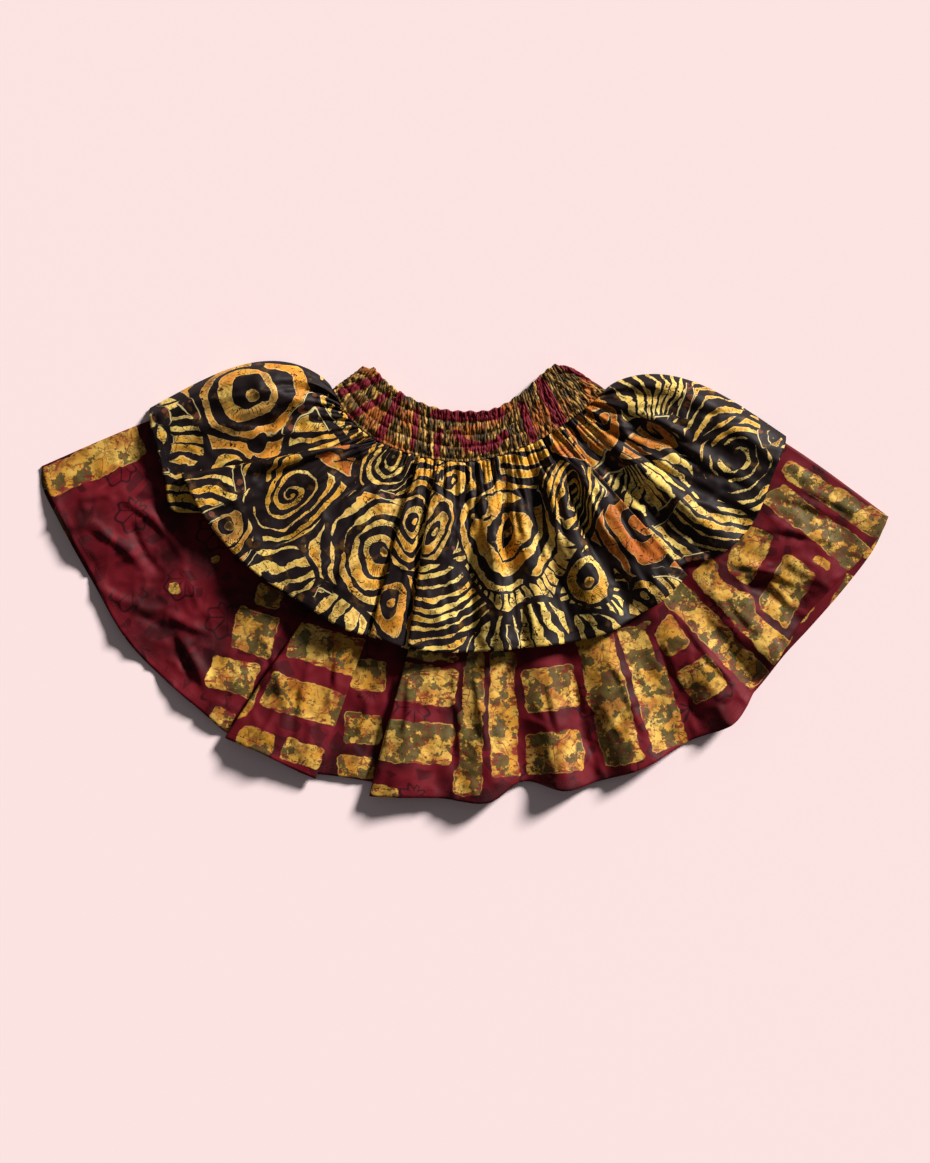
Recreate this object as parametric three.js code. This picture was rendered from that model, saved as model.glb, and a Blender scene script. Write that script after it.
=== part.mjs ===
// A two-tier gathered skirt with a shirred elastic waistband, laid flat on its back.
// Millimetres, +Z up. The origin is on the ground under the middle of the laid-out skirt;
// +Y points from the hem to the waist. Each cut piece of cloth is one closed wall.
import * as THREE from 'three';

// ---- driving dimensions ----
const clothWall = 1.1;             // wall of every tier panel
const bandWall = 2.6;              // doubled cloth and elastic of the waistband
const seamGap = 0.3;               // between two pieces that are sewn together
const groundPanelMiddle = 0.5;     // middle height of a 1 mm wall that rests on the ground
const groundWall = 1.0;            // wall of the panels that rest on the ground
const layerRise = 1.3;             // from one resting wall to the wall laid on it
const bandTopMiddle = 5.0;         // middle height of the front waistband
const bandSideMiddle = 4.2;        // the same at its two side folds
const ribHeight = 1.5;             // how far a gathered rib stands out of the band
const ribsPerStation = 6;          // ribs between two rows of the waistband table
const headerRipple = 1.6;          // waviness of the band's gathered top edge
const gatherHeight = 3.4;          // gathers of the upper tier where it joins the band
const gatherPitch = 12.5;          // from one gather to the next along the seam
const gatherFade = 0.30;           // share of the tier's depth where the gathers die out
const bulgePower = 0.7;            // moves the widest part of a bulge towards the waist
const turnSpread = 2.4;            // room that one turned fold takes along the seam
const foldTilt = 0.8;              // rise of the cloth that lies between the two turns of a fold
const turnSteps = 4;               // flat facets around one turned fold
const hemStep = 15;                // column spacing along a folded hem
const seamStep = 3.9;              // column spacing along a gathered seam
const plainStep = 30;              // column spacing along the hem of a plain back panel
const plainSeamStep = 12;          // column spacing along its seam

// ---- waistband: one row per station, from the left side fold round to the right one ----
// seamX, seamY: where the tiers are gathered in; topX, topY: the band's top edge
const waistband = [
  { seamX: -155, seamY: 225, topX: -110, topY: 258 },
  { seamX: -136, seamY: 192, topX: -103, topY: 246 },
  { seamX: -110, seamY: 169, topX: -90, topY: 232 },
  { seamX: -79, seamY: 154, topX: -73, topY: 220 },
  { seamX: -48, seamY: 145, topX: -49, topY: 208 },
  { seamX: -23, seamY: 141, topX: -24, topY: 201 },
  { seamX: 1, seamY: 140, topX: 1, topY: 199 },
  { seamX: 29, seamY: 144, topX: 27, topY: 200 },
  { seamX: 58, seamY: 153, topX: 49, topY: 209 },
  { seamX: 88, seamY: 166, topX: 70, topY: 224 },
  { seamX: 114, seamY: 183, topX: 87, topY: 240 },
  { seamX: 139, seamY: 201, topX: 102, topY: 252 },
  { seamX: 164, seamY: 224, topX: 114, topY: 258 },
];

// height: share of the full rib at each line across the band; channels are sewn flat
const bandLines = [
  { across: 1.0, height: 0.9 },
  { across: 0.76, height: 0.3 },
  { across: 0.56, height: 1.0 },
  { across: 0.36, height: 0.3 },
  { across: 0.18, height: 1.0 },
  { across: 0.0, height: 0.4 },
];

// rows of a table as objects with the table's column names
const namedRows = (columns, rows) => rows.map((row) => (
  Object.fromEntries(row.map((value, index) => [columns[index], value]))
));

// ---- tier panels: one row per fold line, in the order of the cloth from left to right ----
// seam: place along the waist seam, 0 at the left side fold, 1 at the right one
// hemX, hemY: where the line meets the hem
// waist, middle, hem: height of the wall's middle there
// bulge: sideways bow of the line, towards the left side when positive
// over: height gained (lost, when negative) where the cloth turns back on itself, and 0 on a
//   soft line; the two turns of a fold follow each other, and both give the heights of the
//   fold's lowest layer
const foldColumns = ['name', 'seam', 'hemX', 'hemY', 'waist', 'middle', 'hem', 'bulge', 'over'];

const upperFront = namedRows(foldColumns, [
  ['left side',        0.0, -369, 203, 2.4,  1.9,  1.9,  41,     0],
  ['left roll',      0.014, -369, 197, 5.0,   15,  7.5,  39,     0],
  ['left crest',     0.045, -367, 182, 5.6,   31,   16,  32,     0],
  ['left flank',     0.095, -359, 154, 5.6,   24,   17,  18,     0],
  ['left dip',        0.14, -350, 116, 5.6,   13,   13,   8,     0],
  ['left tip',        0.17, -342,  84, 5.6, 11.5,   12,   0,     0],
  ['lap under',      0.194, -308,  80, 5.6, 11.5, 11.5,  -2,     3],
  ['lap edge',       0.212, -329, 121, 5.6, 11.5, 11.5,  -3,   9.0],
  ['lap face',       0.229, -307,  82, 5.6,   23,   30,   0,     0],
  ['flank dip 1',     0.25, -278,  42, 5.6,   18,   23,   0,     0],
  ['flank ridge 1',  0.272, -238,   6, 5.6,   23,   33,   0,     0],
  ['flank dip 2',    0.294, -193, -23, 5.6,   18,   24,   0,     0],
  ['flank ridge 2',  0.318, -141, -55, 5.6,   22,   31,   0,     0],
  ['tuck dip',       0.332, -109, -65, 5.6,   15, 17.5,   0,     0],
  ['tuck under',     0.345,  -86, -71, 5.6,   14, 16.5,   0,     3],
  ['tuck edge',      0.359, -107, -63, 5.6,   14, 16.5,   0,   7.0],
  ['tuck face',      0.373,  -86, -72, 5.6,   22,   27,   0,     0],
  ['pleat dip',      0.388,  -64, -79, 5.6,   14, 16.5,   0,     0],
  ['pleat under',    0.402,  -39, -82, 5.6, 13.5, 15.5,   0,     3],
  ['pleat edge',     0.416,  -63, -76, 5.6, 13.5, 15.5,   0,   7.5],
  ['pleat face',     0.432,  -41, -82, 5.6,   24,   28,   0,     0],
  ['centre ridge',   0.465,  -15, -83, 5.6,   22,   25,   0,     0],
  ['centre valley',   0.51,   12, -82, 5.6,   13, 15.5,   0,     0],
  ['centre fold',     0.56,   47, -80, 5.6,   26,   27,   0,     0],
  ['right valley 1', 0.605,   70, -77, 5.6,   13,   15,   0,     0],
  ['right ridge 1',  0.645,   94, -75, 5.6,   24,   26,   0,     0],
  ['right valley 2', 0.685,  129, -70, 5.6, 12.5, 14.5,   0,     0],
  ['right ridge 2',   0.72,  166, -60, 5.6,   25,   27,   0,     0],
  ['right valley 3', 0.755,  202, -39, 5.6,   13,   13,   0,     0],
  ['right ridge 3',  0.785,  229, -23, 5.6,   24,   26,   0,     0],
  ['wing edge',      0.806,  258,   6, 5.6,   13, 12.5,   0,  -3.2],
  ['wing under',     0.826,  235,   9, 5.6,   13, 12.5,   0,    -3],
  ['wing out',       0.842,  260,  22, 5.6, 11.5,   12,   0,     0],
  ['right hollow',    0.86,  288,  27, 5.6,   11,   12,   0,     0],
  ['right ridge 4',  0.885,  308,  39, 5.6,   28,   24,   0,     0],
  ['right dip 1',     0.91,  331,  61, 5.6,   14,   13,   0,     0],
  ['right ridge 5',   0.93,  347,  91, 5.6,   19,   18,  -6,     0],
  ['right dip 2',    0.948,  357, 118, 5.6,   17,   14, -12,     0],
  ['right flank',    0.963,  366, 141, 5.6,   23,   16, -21,     0],
  ['right crest',    0.977,  372, 155, 5.6,   27,   12, -29,     0],
  ['right roll',      0.99,  375, 164, 5.0,   14,  7.5, -34,     0],
  ['right side',       1.0,  376, 170, 2.4,  1.9,  1.9, -36,     0],
]);

const lowerFront = namedRows(foldColumns, [
  ['left side',       0.04, -496,  135, 3.2, 3.2, 1.9,  32,     0],
  ['left corner',     0.06, -490,  110, 3.2, 3.4, 2.6,  25,     0],
  ['left panel 1',    0.09, -465,   60, 3.2,   5,   9,  12,     0],
  ['left panel 2',    0.13, -434,    1, 3.2, 3.4, 2.2,   4,     0],
  ['left panel 3',    0.17, -409,  -48, 3.2, 5.5,   6,   0,     0],
  ['left panel 4',    0.22, -369,  -98, 3.2, 3.6, 2.2,   0,     0],
  ['crease',          0.27, -301, -158, 3.2, 5.5,   8,   0,     0],
  ['flap dip',       0.295, -279, -177, 3.2, 3.2, 2.6,   0,     0],
  ['flap under',      0.31, -252, -191, 3.2, 3.2, 2.6,   0,   2.6],
  ['flap edge',      0.335, -278, -184, 3.2, 3.2, 2.6,   0,   2.8],
  ['flap crown',     0.355, -238, -200, 3.2,  12,  18,   0,     0],
  ['flap notch',     0.375, -205, -217, 3.2,   9, 10.5,   0,     0],
  ['flap far edge',  0.395, -176, -230, 3.2, 3.2, 2.6,   0,  -2.8],
  ['flap far under', 0.415, -194, -223, 3.2, 3.2, 2.6,   0,  -2.6],
  ['shade valley',   0.435, -141, -229, 3.2, 3.2, 2.6,   0,     0],
  ['pleat under',    0.455,  -81, -240, 3.2, 3.2, 2.6,   0,   2.6],
  ['pleat edge',      0.48, -109, -251, 3.2, 3.2, 2.6,   0,   2.8],
  ['pleat face 1',     0.5,  -76, -252, 3.2,  11,  20,   0,     0],
  ['pleat face 2',    0.52,  -29, -253, 3.2, 6.5,   9,   0,     0],
  ['ridge 1',        0.545,   27, -258, 3.2,  11,  22,   0,     0],
  ['valley 1',        0.58,   68, -234, 3.2, 3.2, 2.4,   0,     0],
  ['ridge 2',        0.615,  117, -244, 3.2,  11,  21,   0,     0],
  ['valley 2',        0.65,  158, -233, 3.2, 3.2,   3,   0,     0],
  ['ridge 3',        0.685,  205, -219, 3.2,  11,  19,   0,     0],
  ['valley 3',        0.73,  264, -186, 3.2, 3.2, 2.4,   0,     0],
  ['ridge 4',         0.77,  314, -165, 3.2,   8,  18,   0,     0],
  ['valley 4',        0.81,  342, -123, 3.2, 3.2,   3,   0,     0],
  ['side fold',      0.845,  364,  -93, 3.2, 7.5,  16,   0,     0],
  ['side dip',        0.87,  393,  -48, 3.2, 3.4, 2.6,  -4,     0],
  ['side ridge',     0.895,  437,    1, 3.2, 5.5,   9, -12,     0],
  ['side dip 2',      0.92,  472,   36, 3.2, 3.4, 2.6, -24,     0],
  ['right corner',    0.94,  490,   62, 3.2, 3.4, 2.4, -37,     0],
  ['right side',      0.96,  496,   76, 3.2, 3.2, 1.9, -44,     0],
]);

// plain back panels: one row per station of the outline
// lap: share of the depth where the upper tier's back hem lies under the lower tier's panel
const backColumns = ['name', 'seam', 'hemX', 'hemY', 'bulge', 'lap'];

const upperBack = namedRows(backColumns, [
  ['left side',   0.0, -369, 203,   41],
  ['station 1',  0.05, -360, 156,   26],
  ['station 2',  0.12, -343, 107,   10],
  ['station 3',   0.2, -305,  71,    0],
  ['station 4',  0.28, -238,   9,    0],
  ['station 5',  0.36, -141, -48,    0],
  ['station 6',  0.45,  -29, -75,    0],
  ['station 7',  0.55,   64, -74,    0],
  ['station 8',  0.67,  158, -57,    0],
  ['station 9',  0.77,  223, -22,    0],
  ['station 10', 0.86,  288,  32,    0],
  ['station 11', 0.93,  348, 101,  -10],
  ['station 12', 0.97,  369, 146,  -24],
  ['right side',  1.0,  376, 170,  -36],
]);

const lowerBack = namedRows(backColumns, [
  ['left side',   0.04, -496,  135,  32,  0.66],
  ['station 1',   0.06, -496,  114,  25,  0.66],
  ['station 2',   0.09, -475,   69,  12,  0.66],
  ['station 3',   0.13, -436,   -1,   4,  0.66],
  ['station 4',   0.17, -393,  -73,   0,  0.64],
  ['station 5',   0.22, -322, -139,   0,  0.62],
  ['station 6',   0.28, -246, -189,   0,  0.61],
  ['station 7',   0.35, -170, -217,   0,   0.6],
  ['station 8',   0.42,  -88, -236,   0,  0.59],
  ['station 9',    0.5,   -6, -245,   0,  0.58],
  ['station 10',  0.57,   76, -222,   0,   0.6],
  ['station 11',  0.64,  158, -220,   0,   0.6],
  ['station 12',   0.7,  217, -203,   0,   0.6],
  ['station 13',  0.75,  275, -170,   0,  0.61],
  ['station 14',   0.8,  328, -140,   0,  0.62],
  ['station 15',  0.85,  377,  -83,   0,  0.64],
  ['station 16',  0.88,  405,  -53,  -4,  0.65],
  ['station 17', 0.905,  450,   -1, -14,  0.66],
  ['station 18', 0.935,  480,   40, -32,  0.66],
  ['right side',  0.96,  496,   76, -44,  0.66],
]);

// ---- curves shared by all pieces ----
const smooth = THREE.MathUtils.smoothstep;
const mix = THREE.MathUtils.lerp;

const curveThrough = (points) => new THREE.CatmullRomCurve3(points, false, 'centripetal');

const seamCurve = curveThrough(waistband.map((row) => new THREE.Vector3(row.seamX, row.seamY, 0)));
const topCurve = curveThrough(waistband.map((row) => new THREE.Vector3(row.topX, row.topY, 0)));
seamCurve.arcLengthDivisions = 800;
const seamLength = seamCurve.getLength();

// a point of the waist seam, moved away from the band by the sewing gap
function seamPoint(share) {
  const inside = THREE.MathUtils.clamp(share, 0, 1);
  const point = seamCurve.getPointAt(inside);
  const along = seamCurve.getTangentAt(inside);
  return new THREE.Vector3(point.x + along.y * seamGap, point.y - along.x * seamGap, 0);
}

// height of a fold line: waist to middle, then middle to hem, level at each of the three
function lineHeight(row, depth, middleDepth) {
  if (depth < middleDepth) {
    return mix(row.waist, row.middle, smooth(depth, 0, middleDepth));
  }
  return mix(row.middle, row.hem, smooth(depth, middleDepth, 1));
}

// a point of a fold line at a share of its depth, with its seam end moved along the seam
function linePoint(row, depth, seamShift) {
  const start = seamPoint(row.seam + seamShift);
  const end = new THREE.Vector3(row.hemX, row.hemY, 0);
  const across = end.clone().sub(start).normalize();
  const leftward = new THREE.Vector3(across.y, -across.x, 0);
  const bow = row.bulge * Math.sin(Math.PI * depth ** bulgePower);
  return start.lerp(end, depth).addScaledVector(leftward, bow);
}

// the level direction square to a fold line, towards the right side of the panel
function acrossLine(row) {
  const along = linePoint(row, 1, 0).sub(linePoint(row, 0, 0)).normalize();
  return new THREE.Vector3(-along.y, along.x, 0);
}

// ---- one closed wall from a grid of middle points ----
// grid[line][column]; upward and downward give the wall's two offsets at a grid point
function closedWall(grid, upward, downward) {
  const lines = grid.length;
  const columns = grid[0].length;
  const place = (line, column) => {
    const inLine = THREE.MathUtils.clamp(line, 0, lines - 1);
    return grid[inLine][THREE.MathUtils.clamp(column, 0, columns - 1)];
  };
  const positions = [];
  const vertical = new THREE.Vector3(0, 0, 1);
  const normals = grid.map((points, line) => points.map((point, column) => {
    if (line === 0) return vertical;
    const outward = place(line + 1, column).clone().sub(place(line - 1, column));
    const sideways = place(line, column + 1).clone().sub(place(line, column - 1));
    return outward.cross(sideways).normalize();
  }));
  for (const [offset, sign] of [[upward, 1], [downward, -1]]) {
    grid.forEach((points, line) => points.forEach((point, column) => {
      const moved = point.clone().addScaledVector(normals[line][column], sign * offset(line, column));
      positions.push(moved.x, moved.y, moved.z);
    }));
  }
  const top = (line, column) => line * columns + column;
  const under = (line, column) => lines * columns + top(line, column);
  const faces = [];
  const quad = (a, b, c, d) => faces.push(a, b, c, a, c, d);
  for (let line = 0; line < lines - 1; line += 1) {
    for (let column = 0; column < columns - 1; column += 1) {
      const [next, beside] = [line + 1, column + 1];
      quad(top(line, column), top(next, column), top(next, beside), top(line, beside));
      quad(under(line, column), under(line, beside), under(next, beside), under(next, column));
    }
    quad(top(line, 0), under(line, 0), under(line + 1, 0), top(line + 1, 0));
    const last = columns - 1;
    quad(top(line, last), top(line + 1, last), under(line + 1, last), under(line, last));
  }
  for (let column = 0; column < columns - 1; column += 1) {
    const last = lines - 1;
    quad(top(0, column), top(0, column + 1), under(0, column + 1), under(0, column));
    quad(top(last, column), under(last, column), under(last, column + 1), top(last, column + 1));
  }
  const geometry = new THREE.BufferGeometry();
  geometry.setAttribute('position', new THREE.Float32BufferAttribute(positions, 3));
  geometry.setIndex(faces);
  geometry.computeVertexNormals();
  return geometry;
}

// ---- a folded tier panel ----
// number of columns between two neighbouring fold lines
function columnsBetween(row, next, hemSpacing, seamSpacing) {
  const hemLength = Math.hypot(next.hemX - row.hemX, next.hemY - row.hemY);
  const waistLength = (next.seam - row.seam) * seamLength;
  return Math.max(1, Math.ceil(Math.max(hemLength / hemSpacing, waistLength / seamSpacing)));
}

// points of one soft run of cloth, with each point's place along the waist seam;
// between two fold lines it never dips under the lower of them
function addRun(section, stops, counts) {
  const curve = curveThrough(stops.map((stop) => stop.point));
  counts.forEach((count, interval) => {
    for (let step = interval === 0 ? 0 : 1; step <= count; step += 1) {
      const point = curve.getPoint((interval + step / count) / counts.length);
      const floor = Math.min(stops[interval].point.z, stops[interval + 1].point.z);
      point.setZ(Math.max(point.z, floor));
      section.push({ point, seam: mix(stops[interval].seam, stops[interval + 1].seam, step / count) });
    }
  });
}

// a half-round turn of the cloth between two runs that lie on each other
function addTurn(section, before, after, rightward, reach) {
  for (let step = 1; step < turnSteps; step += 1) {
    const angle = Math.PI * step / turnSteps;
    const point = before.point.clone().lerp(after.point, step / turnSteps);
    point.setZ(mix(before.point.z, after.point.z, (1 - Math.cos(angle)) / 2));
    point.addScaledVector(rightward, reach * Math.sin(angle));
    section.push({ point, seam: mix(before.seam, after.seam, step / turnSteps) });
  }
}

// heights of every fold line at one depth, before and after its turn; a fold grows upwards
// from its lower turn, and the soft line next to its upper edge stays level with that edge
function foldLevels(panel, depth) {
  const growth = smooth(depth, panel.turnStart, panel.turnEnd);
  const edgeShare = mix(panel.earlyEdge, 1, smooth(depth, panel.edgeStart, panel.edgeEnd));
  const levels = panel.rows.map((row) => {
    const height = lineHeight(row, depth, panel.middleDepth);
    return { before: height, after: height };
  });
  panel.rows.forEach((row, index) => {
    const next = panel.rows[index + 1];
    if (row.over === 0 || !next || next.over === 0) return;
    const rises = row.over > 0;
    const lower = rises ? levels[index] : levels[index + 1];
    const upper = rises ? levels[index + 1] : levels[index];
    const face = rises ? levels[index + 2] : levels[index - 1];
    const base = lower.before;
    const between = base + growth * Math.abs(rises ? row.over : next.over);
    const crest = between + growth * edgeShare * Math.abs(rises ? next.over : row.over);
    const low = between - growth * foldTilt / 2;
    const high = between + growth * foldTilt / 2;
    Object.assign(lower, rises ? { before: base, after: low } : { before: low, after: base });
    Object.assign(upper, rises ? { before: high, after: crest } : { before: crest, after: high });
    const level = Math.max(face.before, crest);
    Object.assign(face, { before: level, after: level });
    // the turns round out only as far as the cloth really laps back over itself
    const apart = linePoint(row, depth, 0).sub(linePoint(next, depth, 0)).dot(acrossLine(row));
    const backward = apart + turnSpread * (1 - depth);
    const lapped = THREE.MathUtils.clamp(backward / clothWall, 0, 1);
    lower.rounding = lapped;
    upper.rounding = lapped;
  });
  return levels;
}

// one section across the panel: soft runs of cloth joined by half-round turns
function foldedSection(panel, depth) {
  const section = [];
  const levels = foldLevels(panel, depth);
  const halfTurn = turnSpread / 2 / seamLength;
  let stops = [];
  let counts = [];
  let turnSide = 1;
  panel.rows.forEach((row, index) => {
    const stopAt = (shift, height) => ({
      point: linePoint(row, depth, shift).setZ(height),
      seam: row.seam + shift,
    });
    if (index > 0) {
      counts.push(columnsBetween(panel.rows[index - 1], row, panel.hemSpacing, panel.seamSpacing));
    }
    if (row.over === 0) {
      stops.push(stopAt(0, levels[index].before));
      return;
    }
    const before = stopAt(-halfTurn, levels[index].before);
    const after = stopAt(halfTurn, levels[index].after);
    addRun(section, [...stops, before], counts);
    const halfHeight = Math.abs(after.point.z - before.point.z) / 2;
    addTurn(section, before, after, acrossLine(row), turnSide * halfHeight * levels[index].rounding);
    stops = [after];
    counts = [];
    turnSide = -turnSide;
  });
  addRun(section, stops, counts);
  return section;
}

// the seam end of every column is set exactly on the seam, and the rest follows by its depth
function settledGrid(sections, depths) {
  const shifts = sections[0].map((stop) => {
    const exact = seamPoint(stop.seam);
    return new THREE.Vector3(exact.x - stop.point.x, exact.y - stop.point.y, 0);
  });
  return sections.map((section, line) => section.map((stop, column) => (
    stop.point.addScaledVector(shifts[column], 1 - depths[line])
  )));
}

// gathers stand up at the seam and die out down the panel; each is a little different
function addGathers(grid, depths, height) {
  const travelled = [0];
  grid[0].forEach((point, column) => {
    if (column > 0) travelled.push(travelled[column - 1] + point.distanceTo(grid[0][column - 1]));
  });
  const whole = travelled[travelled.length - 1];
  grid.forEach((points, line) => points.forEach((point, column) => {
    const turns = travelled[column] / gatherPitch + 0.35 * Math.sin(travelled[column] / 31);
    const wave = (1 - Math.cos(2 * Math.PI * turns)) / 2;
    const uneven = 0.75 + 0.25 * Math.sin(travelled[column] / 17);
    const fromSides = smooth(Math.min(travelled[column], whole - travelled[column]), 2, 14);
    const fade = 1 - smooth(depths[line], 0, gatherFade);
    point.z += height * wave * uneven * fromSides * fade;
  }));
}

function foldedPanel(panel) {
  const sections = panel.depths.map((depth) => foldedSection(panel, depth));
  const grid = settledGrid(sections, panel.depths);
  addGathers(grid, panel.depths, panel.gathers);
  return closedWall(grid, () => clothWall / 2, () => clothWall / 2);
}

// ---- a plain back panel, level where it rests on the ground or on the layer under it ----
function plainPanel(rows, shares, heightAt) {
  const counts = rows.slice(1).map((row, index) => (
    columnsBetween(rows[index], row, plainStep, plainSeamStep)
  ));
  const sections = shares.map((share, line) => {
    const section = [];
    const stops = rows.map((row) => ({
      point: linePoint(row, share(row), 0).setZ(heightAt(line)),
      seam: row.seam,
    }));
    addRun(section, stops, counts);
    return section;
  });
  const depths = shares.map((share) => share(rows[0]));
  const grid = settledGrid(sections, depths);
  return closedWall(grid, () => groundWall / 2, () => groundWall / 2);
}

// ---- the two halves of the waistband ----
// a point of the band: station along the table, share across from the seam to the top edge
function bandPoint(station, across) {
  const share = station / (waistband.length - 1);
  return seamCurve.getPoint(share).lerp(topCurve.getPoint(share), across);
}

function waistbandFront() {
  const stations = waistband.length - 1;
  const columns = stations * ribsPerStation * 2;
  const grid = bandLines.map((bandLine) => {
    const section = [];
    for (let column = 0; column <= columns; column += 1) {
      const station = column / (2 * ribsPerStation);
      const point = bandPoint(station, bandLine.across);
      const edge = Math.min(column, columns - column) / ribsPerStation;
      const raise = smooth(edge, 0, 3);
      point.z = mix(bandSideMiddle, bandTopMiddle, raise);
      if (bandLine.across === 1) {
        point.y += headerRipple * Math.sin(column * 1.9) * 0.6;
        point.z += headerRipple * (1 + Math.sin(column * 0.9)) * 0.5 * raise;
      }
      section.push(point);
    }
    return section;
  });
  const outer = (line, column) => {
    const rib = column % 2 === 1 ? bandLines[line].height : 0;
    return bandWall / 2 + ribHeight * rib * (0.8 + 0.2 * Math.sin(column * 0.7));
  };
  return closedWall(grid, outer, () => bandWall / 2);
}

function waistbandBack() {
  const columns = 48;
  const grid = [0.97, 0].map((across) => {
    const section = [];
    for (let column = 0; column <= columns; column += 1) {
      const station = (column / columns) * (waistband.length - 1);
      section.push(bandPoint(station, across).setZ(bandWall / 2));
    }
    return section;
  });
  return closedWall(grid, () => bandWall / 2, () => bandWall / 2);
}

// ---- materials ----
const darkPrint = new THREE.MeshStandardMaterial({ color: 0x4a3a20, roughness: 0.62, metalness: 0 });
const darkPrintBack = new THREE.MeshStandardMaterial({ color: 0x43341f, roughness: 0.62, metalness: 0 });
const redPrint = new THREE.MeshStandardMaterial({ color: 0x7a2a2a, roughness: 0.55, metalness: 0 });
const redPrintBack = new THREE.MeshStandardMaterial({ color: 0x6c2026, roughness: 0.55, metalness: 0 });
const bandPrint = new THREE.MeshStandardMaterial({ color: 0x8a4a2a, roughness: 0.7, metalness: 0 });
const bandPrintBack = new THREE.MeshStandardMaterial({ color: 0x7c4028, roughness: 0.7, metalness: 0 });

// ---- the skirt ----
const skirt = new THREE.Group();

function addPiece(name, geometry, material) {
  const piece = new THREE.Mesh(geometry, material);
  piece.name = name;
  skirt.add(piece);
}

// folds grow from the depth turnStart to turnEnd; earlyEdge: share of its height that a fold's
// upper edge has before edgeStart, full from edgeEnd on
const upperTier = {
  rows: upperFront,
  depths: [0, 0.04, 0.08, 0.13, 0.21, 0.31, 0.45, 0.63, 0.82, 1],
  middleDepth: 0.45,
  turnStart: 0,
  turnEnd: 0.11,
  earlyEdge: 0.42,
  edgeStart: 0.08,
  edgeEnd: 0.3,
  hemSpacing: hemStep,
  seamSpacing: seamStep,
  gathers: gatherHeight,
};

const lowerTier = {
  rows: lowerFront,
  depths: [0, 0.08, 0.16, 0.22, 0.32, 0.46, 0.6, 0.74, 0.88, 1],
  middleDepth: 0.66,
  turnStart: 0.02,
  turnEnd: 0.15,
  earlyEdge: 1,
  edgeStart: 0,
  edgeEnd: 1,
  hemSpacing: hemStep * 1.35,
  seamSpacing: seamStep * 2.5,
  gathers: 0,
};

// the upper tier's back panel lies level on the ground
const upperBackShares = [0, 0.25, 0.5, 0.75, 1].map((depth) => () => depth);
const upperBackHeight = () => groundPanelMiddle;

// the lower tier's back panel lies on it, and comes down to the ground past its hem
const lapClear = 0.03;
const lapRamp = 0.09;
const lowerBackShares = [
  () => 0,
  (row) => row.lap * 0.5,
  (row) => row.lap + lapClear,
  (row) => row.lap + lapRamp,
  (row) => mix(row.lap + lapRamp, 1, 0.5),
  () => 1,
];
const lastRaisedLine = 2;
const lowerBackHeight = (line) => groundPanelMiddle + (line <= lastRaisedLine ? layerRise : 0);

addPiece('waistband_front', waistbandFront(), bandPrint);
addPiece('waistband_back', waistbandBack(), bandPrintBack);
addPiece('upper_tier_front', foldedPanel(upperTier), darkPrint);
addPiece('upper_tier_back', plainPanel(upperBack, upperBackShares, upperBackHeight), darkPrintBack);
addPiece('lower_tier_front', foldedPanel(lowerTier), redPrint);
addPiece('lower_tier_back', plainPanel(lowerBack, lowerBackShares, lowerBackHeight), redPrintBack);

export default skirt;
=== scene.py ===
"""Looks of a two-tier gathered skirt in wax-resist prints, laid flat on its back.

Each sewn panel is a thin closed sheet on the form of its solid. Sizes in the tables are
millimetres in the frame of the solids; meshes, lights and the camera are in metres.
"""

import math
from types import SimpleNamespace

import bpy
import numpy as np
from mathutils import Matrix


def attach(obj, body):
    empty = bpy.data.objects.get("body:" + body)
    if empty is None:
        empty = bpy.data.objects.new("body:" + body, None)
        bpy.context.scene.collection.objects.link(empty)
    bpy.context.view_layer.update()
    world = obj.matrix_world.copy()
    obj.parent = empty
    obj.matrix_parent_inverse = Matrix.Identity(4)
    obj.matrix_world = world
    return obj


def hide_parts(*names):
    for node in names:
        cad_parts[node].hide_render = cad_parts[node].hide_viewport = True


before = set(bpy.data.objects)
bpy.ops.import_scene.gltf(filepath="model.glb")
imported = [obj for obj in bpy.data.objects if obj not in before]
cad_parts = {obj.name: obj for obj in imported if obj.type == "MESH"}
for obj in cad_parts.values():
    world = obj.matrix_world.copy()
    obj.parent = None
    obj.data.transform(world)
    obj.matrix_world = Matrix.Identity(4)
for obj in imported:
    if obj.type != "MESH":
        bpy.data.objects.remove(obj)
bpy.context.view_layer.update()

MM = 0.001
TURN = 2 * math.pi

# ---- camera: straight above the middle of the laid-out skirt ----
CAMERA_HEIGHT = 3.2
FLOOR_IN_VIEW = 1.363      # length of floor along the longer side of the image
FILM = 36.0



def add_object(name, data):
    made = bpy.data.objects.new(name, data)
    bpy.context.collection.objects.link(made)
    return made


camera_data = bpy.data.cameras.new("camera")
camera_data.lens = FILM * CAMERA_HEIGHT / FLOOR_IN_VIEW
camera_data.clip_end = 20
camera = add_object("camera", camera_data)
camera.location = (0, 0, CAMERA_HEIGHT)
bpy.context.scene.camera = camera

# ---- sizes ----
CLOTH = 0.7                # thickness of the tiers' cloth
BAND = 1.6                 # doubled cloth of the waistband over its elastic
SEAM_GAP = 0.3
GROUND_MIDDLE = 0.5        # middle of a sheet that rests on the floor
LAYER_RISE = 1.3           # from one resting sheet to the sheet laid on it
GATHER_HEIGHT, GATHER_PITCH = 7.0, 12.5
GATHER_SEED = 5
GATHER_ROUND = 0.65        # below 1 the gathers are full at the top and tight between them
GATHER_REACH = (0.2, 0.8)  # shortest and longest gather, as shares of the depth
SMALL_GATHER, SMALL_PITCH, SMALL_REACH = 3.3, 5.1, 0.28    # fine gathers between the large ones
BULGE_POWER = 0.7
TURN_SPREAD = 2.4          # width that a turned fold takes up at the seam
FOLD_TILT = 0.8
EARLY_EDGE = 0.42          # share of a turned fold's height that it has near the waist
FOLD_WALL = 1.1            # spacing by which a turned fold is rounded out
TURN_STEPS = 6
BAND_TOP_MIDDLE, BAND_SIDE_MIDDLE = 5.0, 4.2
BAND_DEPTH = 60.0          # from its seam to its top, laid flat
RIBS_PER_STATION = 6
RIB_HEIGHT = 3.6
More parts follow.
